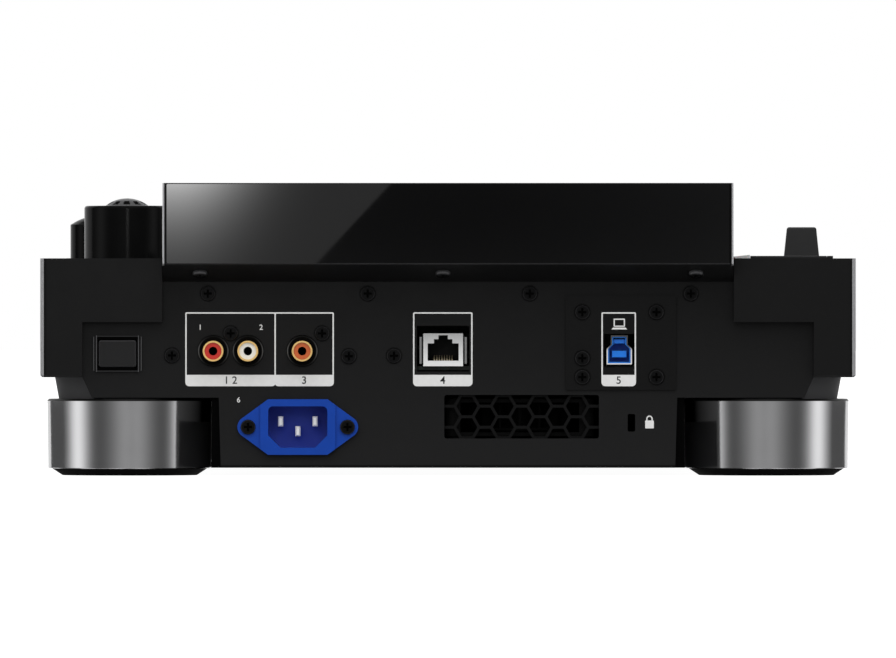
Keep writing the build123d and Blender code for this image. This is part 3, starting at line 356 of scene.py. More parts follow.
def chassis_paint(name, colour):
    """Chassis paint, lighter on its flanks than on its rear ends.

    The rear necks carry painted light, the rear ends painted shade.
    """
    neck_front, neck_half, neck_height = 120 * MM, 143 * MM, 9 * MM
    finish = Finish(name)
    cloud, flank = finish.mottled(colour, 30 * MM, 4.0, 5.5, 7.5)
    across, back, up = finish.axes()
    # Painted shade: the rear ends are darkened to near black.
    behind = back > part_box("bottom_chassis")[1][1] - 0.3 * MM
    foot_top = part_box("foot_shells")[1][2]
    # Painted light: the necks above the rear feet are lightened.
    lit_neck = (back > neck_front) * (up > foot_top) * (up < foot_top + neck_height) * (abs(across) > neck_half)
    flank = finish.blend(lit_neck, flank, rgba(colour, 16.0))
    return finish.surface({
        "Base Color": finish.blend(behind, flank, rgba(colour, 0.15)),
        "Roughness": 0.5 + cloud * 0.1 + behind * 0.2,
        "Normal": finish.grain(0.45 * MM, 0.03 * MM, 0.6),
        "Specular IOR Level": 0.08,
    })


def screw_steel(name, colour):
    """Blackened screws: the head's flat is dark, its rounded rim carries a painted highlight
    and its cross recess painted shade, nearly black.

    The screws under the display carry a painted highlight on a thin crescent.
    """
    plate_half, plate_low, inlet_high = 23 * MM, 34 * MM, 26 * MM
    head, plate_lift, inlet_lift = 1.1 * MM, 1.0 * MM, 2.5 * MM
    cross_top, cross_floor = 0.45 * MM, 1.2 * MM
    highlight_crescent_height, highlight_crescent_width = 82.0 * MM, 0.8 * MM
    finish = Finish(name)
    rim = finish.tilt().bell(0.25, 0.2)
    across, back, up = finish.axes()
    on_plate = (abs(across - middle(PLATE, 0)) < plate_half) * (up > plate_low)
    head_top = PANEL_FACE + head + on_plate * plate_lift + (up < inlet_high) * inlet_lift
    cross = (back < head_top - cross_top) * (back > head_top - cross_floor)
    stain = finish.noise(1.6 * MM, 3.0)
    # Painted highlight on the rounded rim, uneven with stains; the flat stays dark.
    rim_highlight = finish.blend(rim * (0.7 + stain * 0.6), rgba(colour, 0.04), rgba(colour, 1.2))
    # Painted highlight: a thin crescent at the height of the screws under the display.
    rim_highlight = finish.blend(up.bell(highlight_crescent_height, highlight_crescent_width), rim_highlight, rgba(colour, 4.0))
    return finish.surface({
        # Painted shade: the cross recess is nearly black.
        "Base Color": finish.blend(cross, rim_highlight, rgba(colour, 0.02)),
        "Metallic": 0.6 - cross * 0.6,
        "Roughness": 0.36 + stain * 0.12 + cross * 0.4,
        "Normal": finish.relief(stain, 0.01 * MM, 0.4),
        "Specular IOR Level": 0.12,
    })


def high_gloss(name, colour):
    """Polished black plastic with faint ripples and hairlines."""
    finish = Finish(name)
    haze, body = finish.mottled(colour, 24 * MM, 3.0, 0.9, 1.1)
    hair = finish.noise(0.5 * MM, 2.0, (0.02, 1, 1))
    return finish.surface({
        "Base Color": body,
        "Roughness": 0.02 + haze * 0.02 + (hair > 0.68) * 0.02,
        "Normal": finish.relief(finish.noise(30 * MM, 1.0), 0.004 * MM),
    })


def cover_glass(name, screen_half, low, high):
    """Dark glass with a printed black border and a faintly blue screen under it."""
    finish = Finish(name)
    height = finish.along(2)
    inside = (abs(finish.along(0)) < screen_half) * (height > low) * (height < high)
    smear = finish.noise(18 * MM, 4.0)
    return finish.surface({
        "Base Color": finish.blend(inside, (0.003, 0.003, 0.0033, 1), (0.0065, 0.0075, 0.0095, 1)),
        "Roughness": 0.04 + smear * 0.08,
        "Normal": finish.relief(finish.noise(50 * MM, 1.0), 0.004 * MM, 0.3),
        "Coat Weight": 0.4,
        "Coat Roughness": 0.03,
    })


def turned_foot(name, colour, collar, collar_z):
    """Polished ring with the fine level lines that the lathe leaves and a painted top."""
    finish = Finish(name)
    height = finish.along(2)
    cut = finish.lines(height, 0.12 * MM)
    cloud, metal = finish.mottled(colour, 16 * MM, 3.0, 0.95, 1.03)
    painted = height > collar_z
    return finish.surface({
        "Base Color": finish.blend(painted, metal, rgba(collar)),
        "Metallic": 1.0 - painted,
        "Roughness": 0.12 + cut * 0.04 + cloud * 0.02 + painted * 0.3,
        "Normal": finish.relief(cut, 0.0015 * MM, 0.3),
    })


def switch_plastic(name, colour):
    """Black switch frame with painted highlights on its ridges, round a well darkened by painted shade."""
    outer_ridge, inner_ridge, top_ridge = 0.18 * MM, 1.25 * MM, 0.3 * MM
    upright_width, level_width = 0.18 * MM, 0.16 * MM
    side_wall, top_wall = 1.55 * MM, 0.65 * MM
    finish = Finish(name)
    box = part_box("power_switch_frame")
    beside = half(box, 0) - abs(finish.along(0) - middle(box, 0))
    above = half(box, 2) - abs(finish.along(2) - middle(box, 2))
    upright_highlights = beside.bell(outer_ridge, upright_width) + beside.bell(inner_ridge, upright_width)
    level_highlights = above.bell(top_ridge, level_width) * (beside > 1.2 * MM) * 0.4
    # Painted shade: the well inside the frame is darkened to near black.
    shaded_well = (beside > side_wall) * (above > top_wall)
    grain = finish.noise(0.4 * MM)
    # Painted highlights along the ridges, a little uneven with grain.
    painted_highlight = ((upright_highlights + level_highlights) * (0.8 + grain * 0.4)).limited()
    paint = finish.blend(painted_highlight, rgba(colour), rgba(colour, 32.0))
    return finish.surface({
        "Base Color": finish.blend(shaded_well, paint, rgba(colour, 0.05)),
        "Roughness": 0.45 + shaded_well * 0.3,
        "Normal": finish.relief(grain, 0.01 * MM, 0.4),
        "Specular IOR Level": 0.1,
    })


def button_plastic(name, colour):
    """Satin black button with painted highlights on its bevels."""
    finish = Finish(name)
    # Painted highlight on the bevels, where the surface tilts.
    bevel_highlight = finish.tilt().bell(0.3, 0.18)
    cloud, face = finish.mottled(colour, 6 * MM, 3.0, 0.9, 1.1)
    return finish.surface({
        "Base Color": finish.blend(bevel_highlight, face, rgba(colour, 5.0)),
        "Roughness": 0.42 + cloud * 0.08,
        "Normal": finish.grain(0.3 * MM, 0.01 * MM, 0.4),
        "Specular IOR Level": 0.3,
    })


def jack_plastic(name, colour):
    """Deep black phono bodies with painted highlights on their collars at the left and the right."""
    inset, pitch = 4.15 * MM, 14.0 * MM
    collar_highlight_radius, collar_highlight_width, collar_highlight_height = 5.95 * MM, 0.22 * MM, 3.6 * MM
    finish = Finish(name)
    height = middle(JACKS, 2)
    low, high = JACKS[0][0] + inset, JACKS[1][0] - inset
    collars = [finish.radius_from((x, 0, height), (1, 0, 1)) for x in (low, high, high - pitch)]
    # Painted highlights: thin arcs on the collars' left and right sides.
    painted_highlight = sum(far.bell(collar_highlight_radius, collar_highlight_width) for far in collars)
    painted_highlight = painted_highlight * abs(finish.along(2) - height).bell(0.0, collar_highlight_height) * (finish.along(1) > PANEL_FACE)
    cloud, body = finish.mottled(colour, 5 * MM, 3.0, 0.8, 1.2)
    return finish.surface({
        "Base Color": finish.blend(painted_highlight.limited(), body, rgba(colour, 90.0)),
        "Roughness": 0.5 + cloud * 0.1,
        "Normal": finish.grain(0.4 * MM, 0.01 * MM),
        "Specular IOR Level": 0.06,
    })


def turned_knob(name, colour):
    """Black knob whose domed button is brushed metal between dimples blackened as painted shade."""
    dome_height, dome_radius, dimples = 3.05 * MM, 9.0 * MM, 10.0
    dimple_inner, dimple_outer, dimple_start = 5.6 * MM, 8.2 * MM, 0.42
    finish = Finish(name)
    x, y = centre_of("rotary_selector")
    radius = finish.radius_from((x, y, 0))
    across, back, up = finish.axes()
    angle = (across - x).math("ARCTAN2", back - y)
    spoke = (angle * dimples).math("COSINE") * 0.5 + 0.5
    button = (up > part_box("rotary_selector")[1][2] - dome_height) * (radius < dome_radius)
    # Painted shade: the dimples in the dome are painted black.
    shaded_dimple = (spoke > dimple_start) * (radius > dimple_inner) * (radius < dimple_outer)
    bare = button * (1.0 - shaded_dimple)
    cloud, paint = finish.mottled(colour, 9 * MM, 3.0, 0.8, 1.2)
    return finish.surface({
        "Base Color": finish.blend(bare, paint, (0.16, 0.16, 0.165, 1.0)),
        "Metallic": bare * 0.8,
        "Roughness": 0.12 + bare * 0.2 + cloud * 0.06,
        "Normal": finish.grain(0.3 * MM, 0.004 * MM, 0.4),
        "Specular IOR Level": 0.06,
    })


def spun(name, colour, centre, pitch, metallic, roughness):
    """Round part with grooves that follow its rim."""
    finish = Finish(name)
    radius = finish.radius_from((*centre, 0))
    groove_and_dark_line = finish.lines(radius, pitch)
    cloud = finish.noise(22 * MM, 3.0)
    return finish.surface({
        "Base Color": finish.blend(groove_and_dark_line, rgba(colour, 0.75), rgba(colour, 1.25)),
        "Metallic": metallic,
        "Roughness": roughness + groove_and_dark_line * 0.1 + cloud * 0.06,
        "Normal": finish.relief(groove_and_dark_line, 0.02 * MM),
        "Specular IOR Level": 0.4,
    })


def drawn_metal(name, colour, roughness, grain=(1, 0.05, 1), metallic=1.0):
    """Plain sheet or turned metal with faint scratches and stains."""
    finish = Finish(name)
    scratch = finish.noise(0.6 * MM, 3.0, grain)
    stain, metal = finish.mottled(colour, 7 * MM, 4.0, 0.82, 1.06)
    return finish.surface({
        "Base Color": metal,
        "Metallic": metallic,
        "Roughness": roughness + scratch * 0.12 + stain * 0.06,
        "Normal": finish.relief(scratch, 0.008 * MM, 0.4),
    })


def lined_shield(name, colour, box, painted_light_fade, body_half):
    """Plated shield round a socket, nearly black behind its rim: a black lining together with
    painted shade in the recess.

    By painted_light_fade, a (start height, end height, level) tuple, the plate changes to that
    level as painted light.
    Springs further than body_half from its middle are duller.
    """
    finish = Finish(name)
    body = abs(finish.along(0) - middle(box, 0)) < body_half
    # Nearly black behind the rim: the black lining together with painted shade in the recess.
    inside = (finish.along(1) < box[1][1] - 0.35 * MM) * body
    scratch = finish.noise(0.5 * MM, 3.0, (1, 1, 0.1))
    stain = finish.noise(5 * MM, 4.0)
    # Painted light: the plate is lighter at the bottom and darker at the top.
    *heights, level = painted_light_fade
    height = finish.along(2).ramp(*heights)
    plate = finish.blend(height * 0.9 + stain * 0.1, rgba(colour), rgba(colour, level))
    plate = finish.blend(body, rgba(colour, 0.24), plate)
    return finish.surface({
        "Base Color": finish.blend(inside, plate, (0.006, 0.006, 0.006, 1.0)),
        "Metallic": (1.0 - inside) * 0.1,
        "Roughness": 0.3 + scratch * 0.14 + inside * 0.2,
        "Normal": finish.relief(scratch, 0.01 * MM, 0.4),
        "Specular IOR Level": 0.25,
    })


def bare_plastic(name, colour, specular=0.4):
    """Coloured moulding of a socket, slightly cloudy, with dull and shiny spots."""
    finish = Finish(name)
    spot = finish.noise(1.1 * MM)
    return finish.surface({
        "Base Color": finish.mottled(colour, 6 * MM, 4.0, 0.88, 1.08)[1],
        "Roughness": 0.38 + (spot - 0.5) * 0.2,
        "Normal": finish.grain(0.5 * MM, 0.01 * MM),
        "Specular IOR Level": specular,
    })


def mains_plastic(name, colour, shade):
    """Blue moulding that turns lighter deep inside: painted light in the recess."""
    finish = Finish(name)
    # Painted light: the colour turns a lighter blue deep in the inlet.
    depth = finish.along(1).ramp(PANEL_FACE + 1.2 * MM, PANEL_FACE - 1.8 * MM)
    cloud, outside = finish.mottled(colour, 6 * MM, 4.0, 0.9, 1.1)
    return finish.surface({
        "Base Color": finish.blend(depth, outside, rgba(shade)),
        "Roughness": 0.34 + cloud * 0.12,
        "Normal": finish.grain(0.45 * MM, 0.012 * MM),
        "Specular IOR Level": 0.2,
    })


def phono_inserts(name, colours, edges):
    """Three inserts of one moulding, told apart by where they sit."""
    finish = Finish(name)
    place = finish.along(0)
    digital, left, right = [rgba(colour) for colour in colours]
    pair = finish.blend(place > edges[1], left, right)
    colour = finish.blend(place > edges[0], digital, pair)
    spot = finish.noise(1.5 * MM, 3.0)
    return finish.surface({
        "Base Color": finish.blend(spot * 0.25, colour, (0.02, 0.01, 0.01, 1.0)),
        "Roughness": 0.32 + spot * 0.16,
        "Normal": finish.grain(0.6 * MM, 0.01 * MM),
    })


def light_guide(name, colour):
    """Milky plastic that carries a lamp's light."""
    finish = Finish(name)
    cloud, body = finish.mottled(colour, 3 * MM, 4.0, 0.86, 1.0)
    return finish.surface({
        "Base Color": body,
        "Roughness": 0.3 + cloud * 0.15,
        "Normal": finish.grain(0.8 * MM, 0.008 * MM, 0.4),
        "Subsurface Weight": 0.15,
        "Subsurface Scale": 1 * MM,
    })


def circuit_board(name):
    """Green board with copper tracks under its lacquer."""
    finish = Finish(name)
    row = finish.lines(finish.along(0), 2.4 * MM)
    column = finish.lines(finish.along(1), 2.0 * MM)
    track = ((row > 0.56) + (column > 0.58)).limited()
    pad = finish.noise(1.4 * MM, 1.0) > 0.64
    lacquer = finish.blend(track, (0.0015, 0.006, 0.003, 1), (0.003, 0.012, 0.006, 1))
    return finish.surface({
        "Base Color": finish.blend(pad, lacquer, (0.03, 0.026, 0.016, 1)),
        "Metallic": pad * 0.3,
        "Roughness": 0.42 - track * 0.08,
        "Normal": finish.relief(track, 0.03 * MM, 0.6),
    })


def ink(name, colour):
    """Screen-printed ink, a little uneven."""
    finish = Finish(name)
    cloud, body = finish.mottled(colour, 2.0 * MM, 4.0, 0.93, 1.04)
    return finish.surface({
        "Base Color": body,
        "Roughness": 0.5 + cloud * 0.15,
        "Normal": finish.grain(0.3 * MM, 0.004 * MM, 0.4),
        "Specular IOR Level": 0.3,
    })


def dress(material, *nodes):
    """Gives CAD parts one finish."""
    for name in nodes:
        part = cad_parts[name].data
        part.materials.clear()
        part.materials.append(material)


# ---------------------------------------------------------------- marks and small pieces
class Face:
    """A flat side of the deck that marks are printed on: right and up as a reader sees them."""

    def __init__(self, origin, right, up):
        self.origin = Vector(origin)
        self.right = Vector(right).normalized()
        self.up = Vector(up).normalized()
        self.out = self.right.cross(self.up)

    def at(self, point, lift=0.0):
        return self.origin + self.right * point[0] + self.up * point[1] + self.out * lift

    def matrix(self, point, lift=0.0):
        """Placement of something drawn flat, centred on a point of this face."""
        turn = Matrix((self.right, self.up, self.out)).transposed().to_4x4()
        return Matrix.Translation(self.at(point, lift)) @ turn


REAR = Face((0, PANEL_FACE, 0), (-1, 0, 0), (0, 0, 1))
REAR_PLATE = Face((0, PLATE_FACE, 0), (-1, 0, 0), (0, 0, 1))
DECK = Face((0, 0, DECK_FACE), (1, 0, 0), (0, 1, 0))
KEYS = Face((0, 0, KEY_FACE), (1, 0, 0), (0, 1, 0))
PRINT = ("root", "panel_black")
SUNK = -0.01 * MM


def rounded(left, right, bottom, top, radii):
    """Outline of a box with rounded corners, from its lower left corner round to the right."""
    corners = (
        (left, bottom, 1, 1, 180),
        (right, bottom, -1, 1, 270),
        (right, top, -1, -1, 0),
        (left, top, 1, -1, 90),
    )
    steps = 6
    points = []
    for (x, y, dx, dy, start), radius in zip(corners, radii):
        for step in range(steps + 1):
            angle = math.radians(start + 90 * step / steps)
            centre = (x + dx * radius, y + dy * radius)
            points.append((centre[0] + radius * math.cos(angle), centre[1] + radius * math.sin(angle)))
    return points


def circle(x, y, radius):
    steps = 96
    turns = [2 * math.pi * step / steps for step in range(steps)]
    return [(x + radius * math.cos(turn), y + radius * math.sin(turn)) for turn in turns]


def raise_outline(mesh, face, points, thickness):
    """Adds a flat solid with this outline to a mesh."""
    low = [mesh.verts.new(face.at(point, SUNK)) for point in points]
    high = [mesh.verts.new(face.at(point, thickness)) for point in points]
    mesh.faces.new(high)
    mesh.faces.new(low[::-1])
    count = len(points)
    for index in range(count):
        after = (index + 1) % count
        mesh.faces.new((low[index], low[after], high[after], high[index]))


def raise_ring(mesh, face, outer, inner, thickness):
    """Adds a flat frame between two outlines of as many points."""
    edges = ((outer, SUNK), (outer, thickness), (inner, thickness), (inner, SUNK))
    loops = [[mesh.verts.new(face.at(point, lift)) for point in points] for points, lift in edges]
    count = len(outer)
    for near, far in zip(loops, loops[1:] + loops[:1]):
        for index in range(count):
            after = (index + 1) % count
            mesh.faces.new((near[index], near[after], far[after], far[index]))


def added(name, data):
    """Adds an object to the scene."""
    made = bpy.data.objects.new(name, data)
    bpy.context.scene.collection.objects.link(made)
    return made


def solid(name, mesh, material):
    """Turns a finished bmesh into an object."""
    data = bpy.data.meshes.new(name)
    mesh.to_mesh(data)
    mesh.free()
    data.materials.append(material)
    return added(name, data)


def piece(name, mesh, material, body, slot):
    """Turns a finished bmesh into a piece that rides on a body."""
    bmesh.ops.recalc_face_normals(mesh, faces=mesh.faces)
    made = solid(name, mesh, material)
    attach(made, body)


def number(name, text, face, point, height, material, body, slot, lift=0.0):
    """Prints a number, centred on a point of a face."""
    sizes = bpy.context.scene.deck_marks
    type_size, bolder = 1.42, 0.012
    curve = bpy.data.curves.new(name, "FONT")
    curve.body = text
    curve.align_x = "CENTER"
    curve.align_y = "CENTER"
    curve.size = height * type_size
    curve.extrude = sizes.ink / 2
    curve.offset = height * bolder
    drawn = added(name + "_drawn", curve)
    bpy.context.view_layer.update()
    data = bpy.data.meshes.new_from_object(drawn.evaluated_get(bpy.context.evaluated_depsgraph_get()))
    bpy.data.objects.remove(drawn)
    bpy.data.curves.remove(curve)
    data.name = name
    data.transform(face.matrix(point, sizes.ink / 2 + lift))
    data.materials.clear()
    data.materials.append(material)
    made = added(name, data)
    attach(made, body)


class DeckOperator:
    """What the deck's operators share: their undo option and the settings they read."""

    bl_options = {"REGISTER", "UNDO"}

    @property
    def colours(self):
        return bpy.context.scene.deck_colours

    @property
    def marks(self):
        return bpy.context.scene.deck_marks

    @property
    def studio(self):
        return bpy.context.scene.deck_studio


class DECK_OT_case(DeckOperator, bpy.types.Operator):
    """Finish the case, the deck plate, the chassis and the rear panel"""

    bl_idname = "deck.case"
    bl_label = "Case and Panels"

    def execute(self, context):
        colours = self.colours
        # Painted highlight on the case's upright corners.
        case_corner_highlight = (colours.edge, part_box("upper_case"), 1.5 * MM, 3.2 * MM)
        dress(moulded("case_black", colours.case, 0.5, edge=case_corner_highlight), "upper_case")
        # Painted highlight on the display housing's upright corners.
        rim_corner_highlight = (rgba(colours.edge, 1.6)[:3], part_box("display_housing"), 0.75 * MM, 1.6 * MM)
        # Painted highlight along the level edge just under the gloss cover.
        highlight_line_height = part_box("display_back_cover")[0][2] - 0.35 * MM
        housing = moulded("display_black", colours.case, 0.46, edge=rim_corner_highlight, line=highlight_line_height)
        dress(housing, "display_housing")
        dress(moulded("deck_black", colours.deck, 0.42, grain=0.3 * MM, depth=0.012 * MM), "deck_plate")
        dress(chassis_paint("chassis_black", colours.panel), "bottom_chassis")
        # Painted light: the rear panel gets lighter towards the bottom.
        painted_light_fade = (70 * MM, 2 * MM, 2.0)
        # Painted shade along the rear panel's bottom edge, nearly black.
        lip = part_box("rear_panel")[0][2] + 1.1 * MM
        panel = moulded("panel_black", colours.panel, 0.52, 0.6 * MM, 0.03 * MM, painted_light_fade=painted_light_fade, lip=lip)
        dress(panel, "rear_panel")
        plate = moulded("plate_black", rgba(colours.panel, 0.75)[:3], 0.5, 0.6 * MM, 0.03 * MM)
        dress(plate, "usb_cover_plate")
        dress(moulded("vent_black", rgba(colours.panel, 0.95)[:3], 0.5, specular=0.12), "vent_grille")
        dress(high_gloss("gloss_black", colours.gloss), "display_back_cover")
        dress(screw_steel("screw_black", colours.screw), "screws")
        return {"FINISHED"}


class DECK_OT_feet(DeckOperator, bpy.types.Operator):
    """Finish the metal rings of the feet and their rubber pads"""

    bl_idname = "deck.feet"
    bl_label = "Feet"

    def execute(self, context):
        collar_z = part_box("foot_shells")[1][2] - 0.9 * MM
        metal = turned_foot("foot_metal", self.colours.foot, self.colours.collar, collar_z)
        dress(metal, "foot_shells")
        pad = moulded("rubber", self.colours.rubber, 0.85, grain=0.8 * MM, depth=0.05 * MM, specular=0.04)
        dress(pad, "foot_pads")
        return {"FINISHED"}


class DECK_OT_display(DeckOperator, bpy.types.Operator):
    """Finish the display's glass, module and row of keys"""

    bl_idname = "deck.display"
    bl_label = "Display"

    def execute(self, context):
        low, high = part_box("display_glass")
        margin, screen_half = 2.5 * MM, 101 * MM
        glass = cover_glass("display_glass", screen_half, low[2] + margin, high[2] - margin)
        dress(glass, "display_glass", "jog_lens")
        module = drawn_metal("display_module", (0.16, 0.16, 0.17), 0.4)
        dress(module, "display_panel", "jog_display")
        key = moulded("menu_black", self.colours.rubber, 0.46, 0.3 * MM, 0.01 * MM, specular=0.35)
        dress(key, "menu_keys")
        return {"FINISHED"}


class DECK_OT_jog(DeckOperator, bpy.types.Operator):
    """Finish the jog wheel, its bearing and the casting under it"""

    bl_idname = "deck.jog"
    bl_label = "Jog Wheel"

    def execute(self, context):
        centre = (0.0, middle(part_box("jog_platter"), 1))
        dress(spun("jog_platter", (0.03, 0.03, 0.032), centre, 0.5 * MM, 0.75, 0.32), "jog_platter")
        dress(moulded("jog_ring", (0.011, 0.011, 0.0115), 0.48, depth=0.03 * MM, specular=0.35), "jog_ring")
        dress(spun("jog_casting", (0.03, 0.03, 0.03), centre, 0.9 * MM, 0.4, 0.55), "jog_base")
        dress(drawn_metal("bearing_steel", (0.6, 0.6, 0.62), 0.25), "jog_bearing", "selector_shaft")
        return {"FINISHED"}


class DECK_OT_keys(DeckOperator, bpy.types.Operator):
    """Finish the keys, knobs, lever and door that are worked by hand"""

    bl_idname = "deck.keys"
    bl_label = "Keys and Knobs"

    def execute(self, context):
        rubber = self.colours.rubber
        soft = moulded("key_black", rubber, 0.55, grain=0.35 * MM, depth=0.02 * MM, specular=0.35)
        names = ("hot_cue_keys", "loop_keys", "tempo_keys", "eject_key")
        pairs = ("search_back_key", "search_forward_key", "track_back_key", "track_forward_key")
        dress(soft, *names, *pairs)
        for name in ("play_button", "cue_button"):
            face = spun(name + "_face", (0.045, 0.045, 0.047), centre_of(name), 0.3 * MM, 0.8, 0.34)
            dress(face, name)
        knob = moulded("knob_black", (0.0075, 0.0075, 0.008), 0.44, grain=0.3 * MM, specular=0.3)
        dress(knob, "tempo_knob", "usb_door")
        dress(button_plastic("button_black", (0.009, 0.009, 0.0094)), "power_button")
        dress(switch_plastic("switch_black", (0.003, 0.003, 0.0031)), "power_switch_frame")
        dress(turned_knob("selector_black", (0.0046, 0.0046, 0.0047)), "rotary_selector")
        dial = moulded("dial_black", (0.002, 0.002, 0.0021), 0.16, depth=0.002 * MM, specular=0.06)
        dress(dial, "jog_adjust_knob")
        lever = moulded("lever_black", self.colours.lever, 0.44, 0.3 * MM, 0.01 * MM, specular=0.35)
        dress(lever, "direction_lever")
        dress(light_guide("light_guide", (0.8, 0.8, 0.8)), "usb_light_strip")
        return {"FINISHED"}


class DECK_OT_sockets(DeckOperator, bpy.types.Operator):
    """Finish the phono jacks and the network, computer and stick sockets"""

    bl_idname = "deck.sockets"
    bl_label = "Sockets"

    def execute(self, context):
        colours = self.colours
        black = bare_plastic("socket_plastic", (0.004, 0.004, 0.0042), specular=0.22)
        dress(black, "media_sockets")
        dress(jack_plastic("jack_black", (0.0012, 0.0012, 0.0012)), "jack_block")
        dress(drawn_metal("gold", colours.gilt, 0.28, (1, 1, 1), 0.45), "jack_shells")
        dress(drawn_metal("pale_gold", (0.5, 0.42, 0.28), 0.3, (1, 1, 1), 0.3), "link_contacts")
        past_digital, past_left = 0.34, 0.83
        edges = [JACKS[0][0] + 2 * half(JACKS, 0) * share for share in (past_digital, past_left)]
        inserts = (colours.jack_digital, colours.jack_left, colours.jack_right)
        dress(phono_inserts("jack_colour", inserts, edges), "jack_inserts")
        body_half = 8.3 * MM
        # Painted light: the network shield is white at the bottom, darker towards the top.
        shield = lined_shield("shield_steel", (1, 1, 1), LINK, (LINK[0][2], LINK[1][2], 0.45), body_half)
        dress(shield, "link_socket")
        # Painted light: the computer socket's shield is bright only at the bottom, nearly black above.
        painted_light_fade = (50.4 * MM, 52.2 * MM, 0.04)
        dress(lined_shield("socket_steel", (0.9, 0.9, 0.9), USB, painted_light_fade, body_half), "usb_b_socket")
        dress(bare_plastic("usb_blue", colours.usb), "usb_b_tongue")
        return {"FINISHED"}


class DECK_OT_inlet(DeckOperator, bpy.types.Operator):
    """Finish the mains inlet and its three pins"""

    bl_idname = "deck.inlet"
    bl_label = "Mains Inlet"

    def execute(self, context):
        colours = self.colours
        dress(mains_plastic("inlet_blue", colours.inlet, colours.inlet_inside), "ac_inlet")
        dress(drawn_metal("pin_steel", (1.0, 1.0, 1.0), 0.3, metallic=0.3), "ac_inlet_pins")
        return {"FINISHED"}


class DECK_OT_inside(DeckOperator, bpy.types.Operator):
    """Finish the boards, the blower and the disc drive inside the case"""

    bl_idname = "deck.inside"
    bl_label = "Inside"

    def execute(self, context):
        dress(circuit_board("board_green"), "main_board", "power_supply_board", "control_boards")
        steel = drawn_metal("drive_steel", (0.5, 0.5, 0.51), 0.3)
        dress(steel, "drive_frame", "pickup_sled", "tempo_fader_body")
        rubber = moulded("drive_rubber", (0.02, 0.02, 0.02), 0.7, specular=0.2)
        dress(rubber, "loading_roller", "drive_turntable")
        dark = moulded("blower_black", (0.004, 0.004, 0.004), 0.7, specular=0.1)
        dress(dark, "fan_rotor", "fan_frame")
        bezel = moulded("slot_black", self.colours.case, 0.4, grain=0.3 * MM, specular=0.3)
        dress(bezel, "slot_bezel")
        return {"FINISHED"}


def socket_frame(mesh, face, left, right, sizes, ink_share):
    """Adds a thin frame round a socket with a solid bar along its bottom."""
    bottom_radius, top_radius, inner_radius = 1.6 * MM, 0.6 * MM, 0.1 * MM
    line = sizes.line
    radii = (bottom_radius, bottom_radius, top_radius, top_radius)
    outer = rounded(left, right, sizes.frame_bottom, sizes.frame_top, radii)
    low = sizes.frame_bottom + sizes.bar
    inner = rounded(left + line, right - line, low, sizes.frame_top - line, [inner_radius] * 4)
    raise_ring(mesh, face, outer, inner, sizes.ink * ink_share)


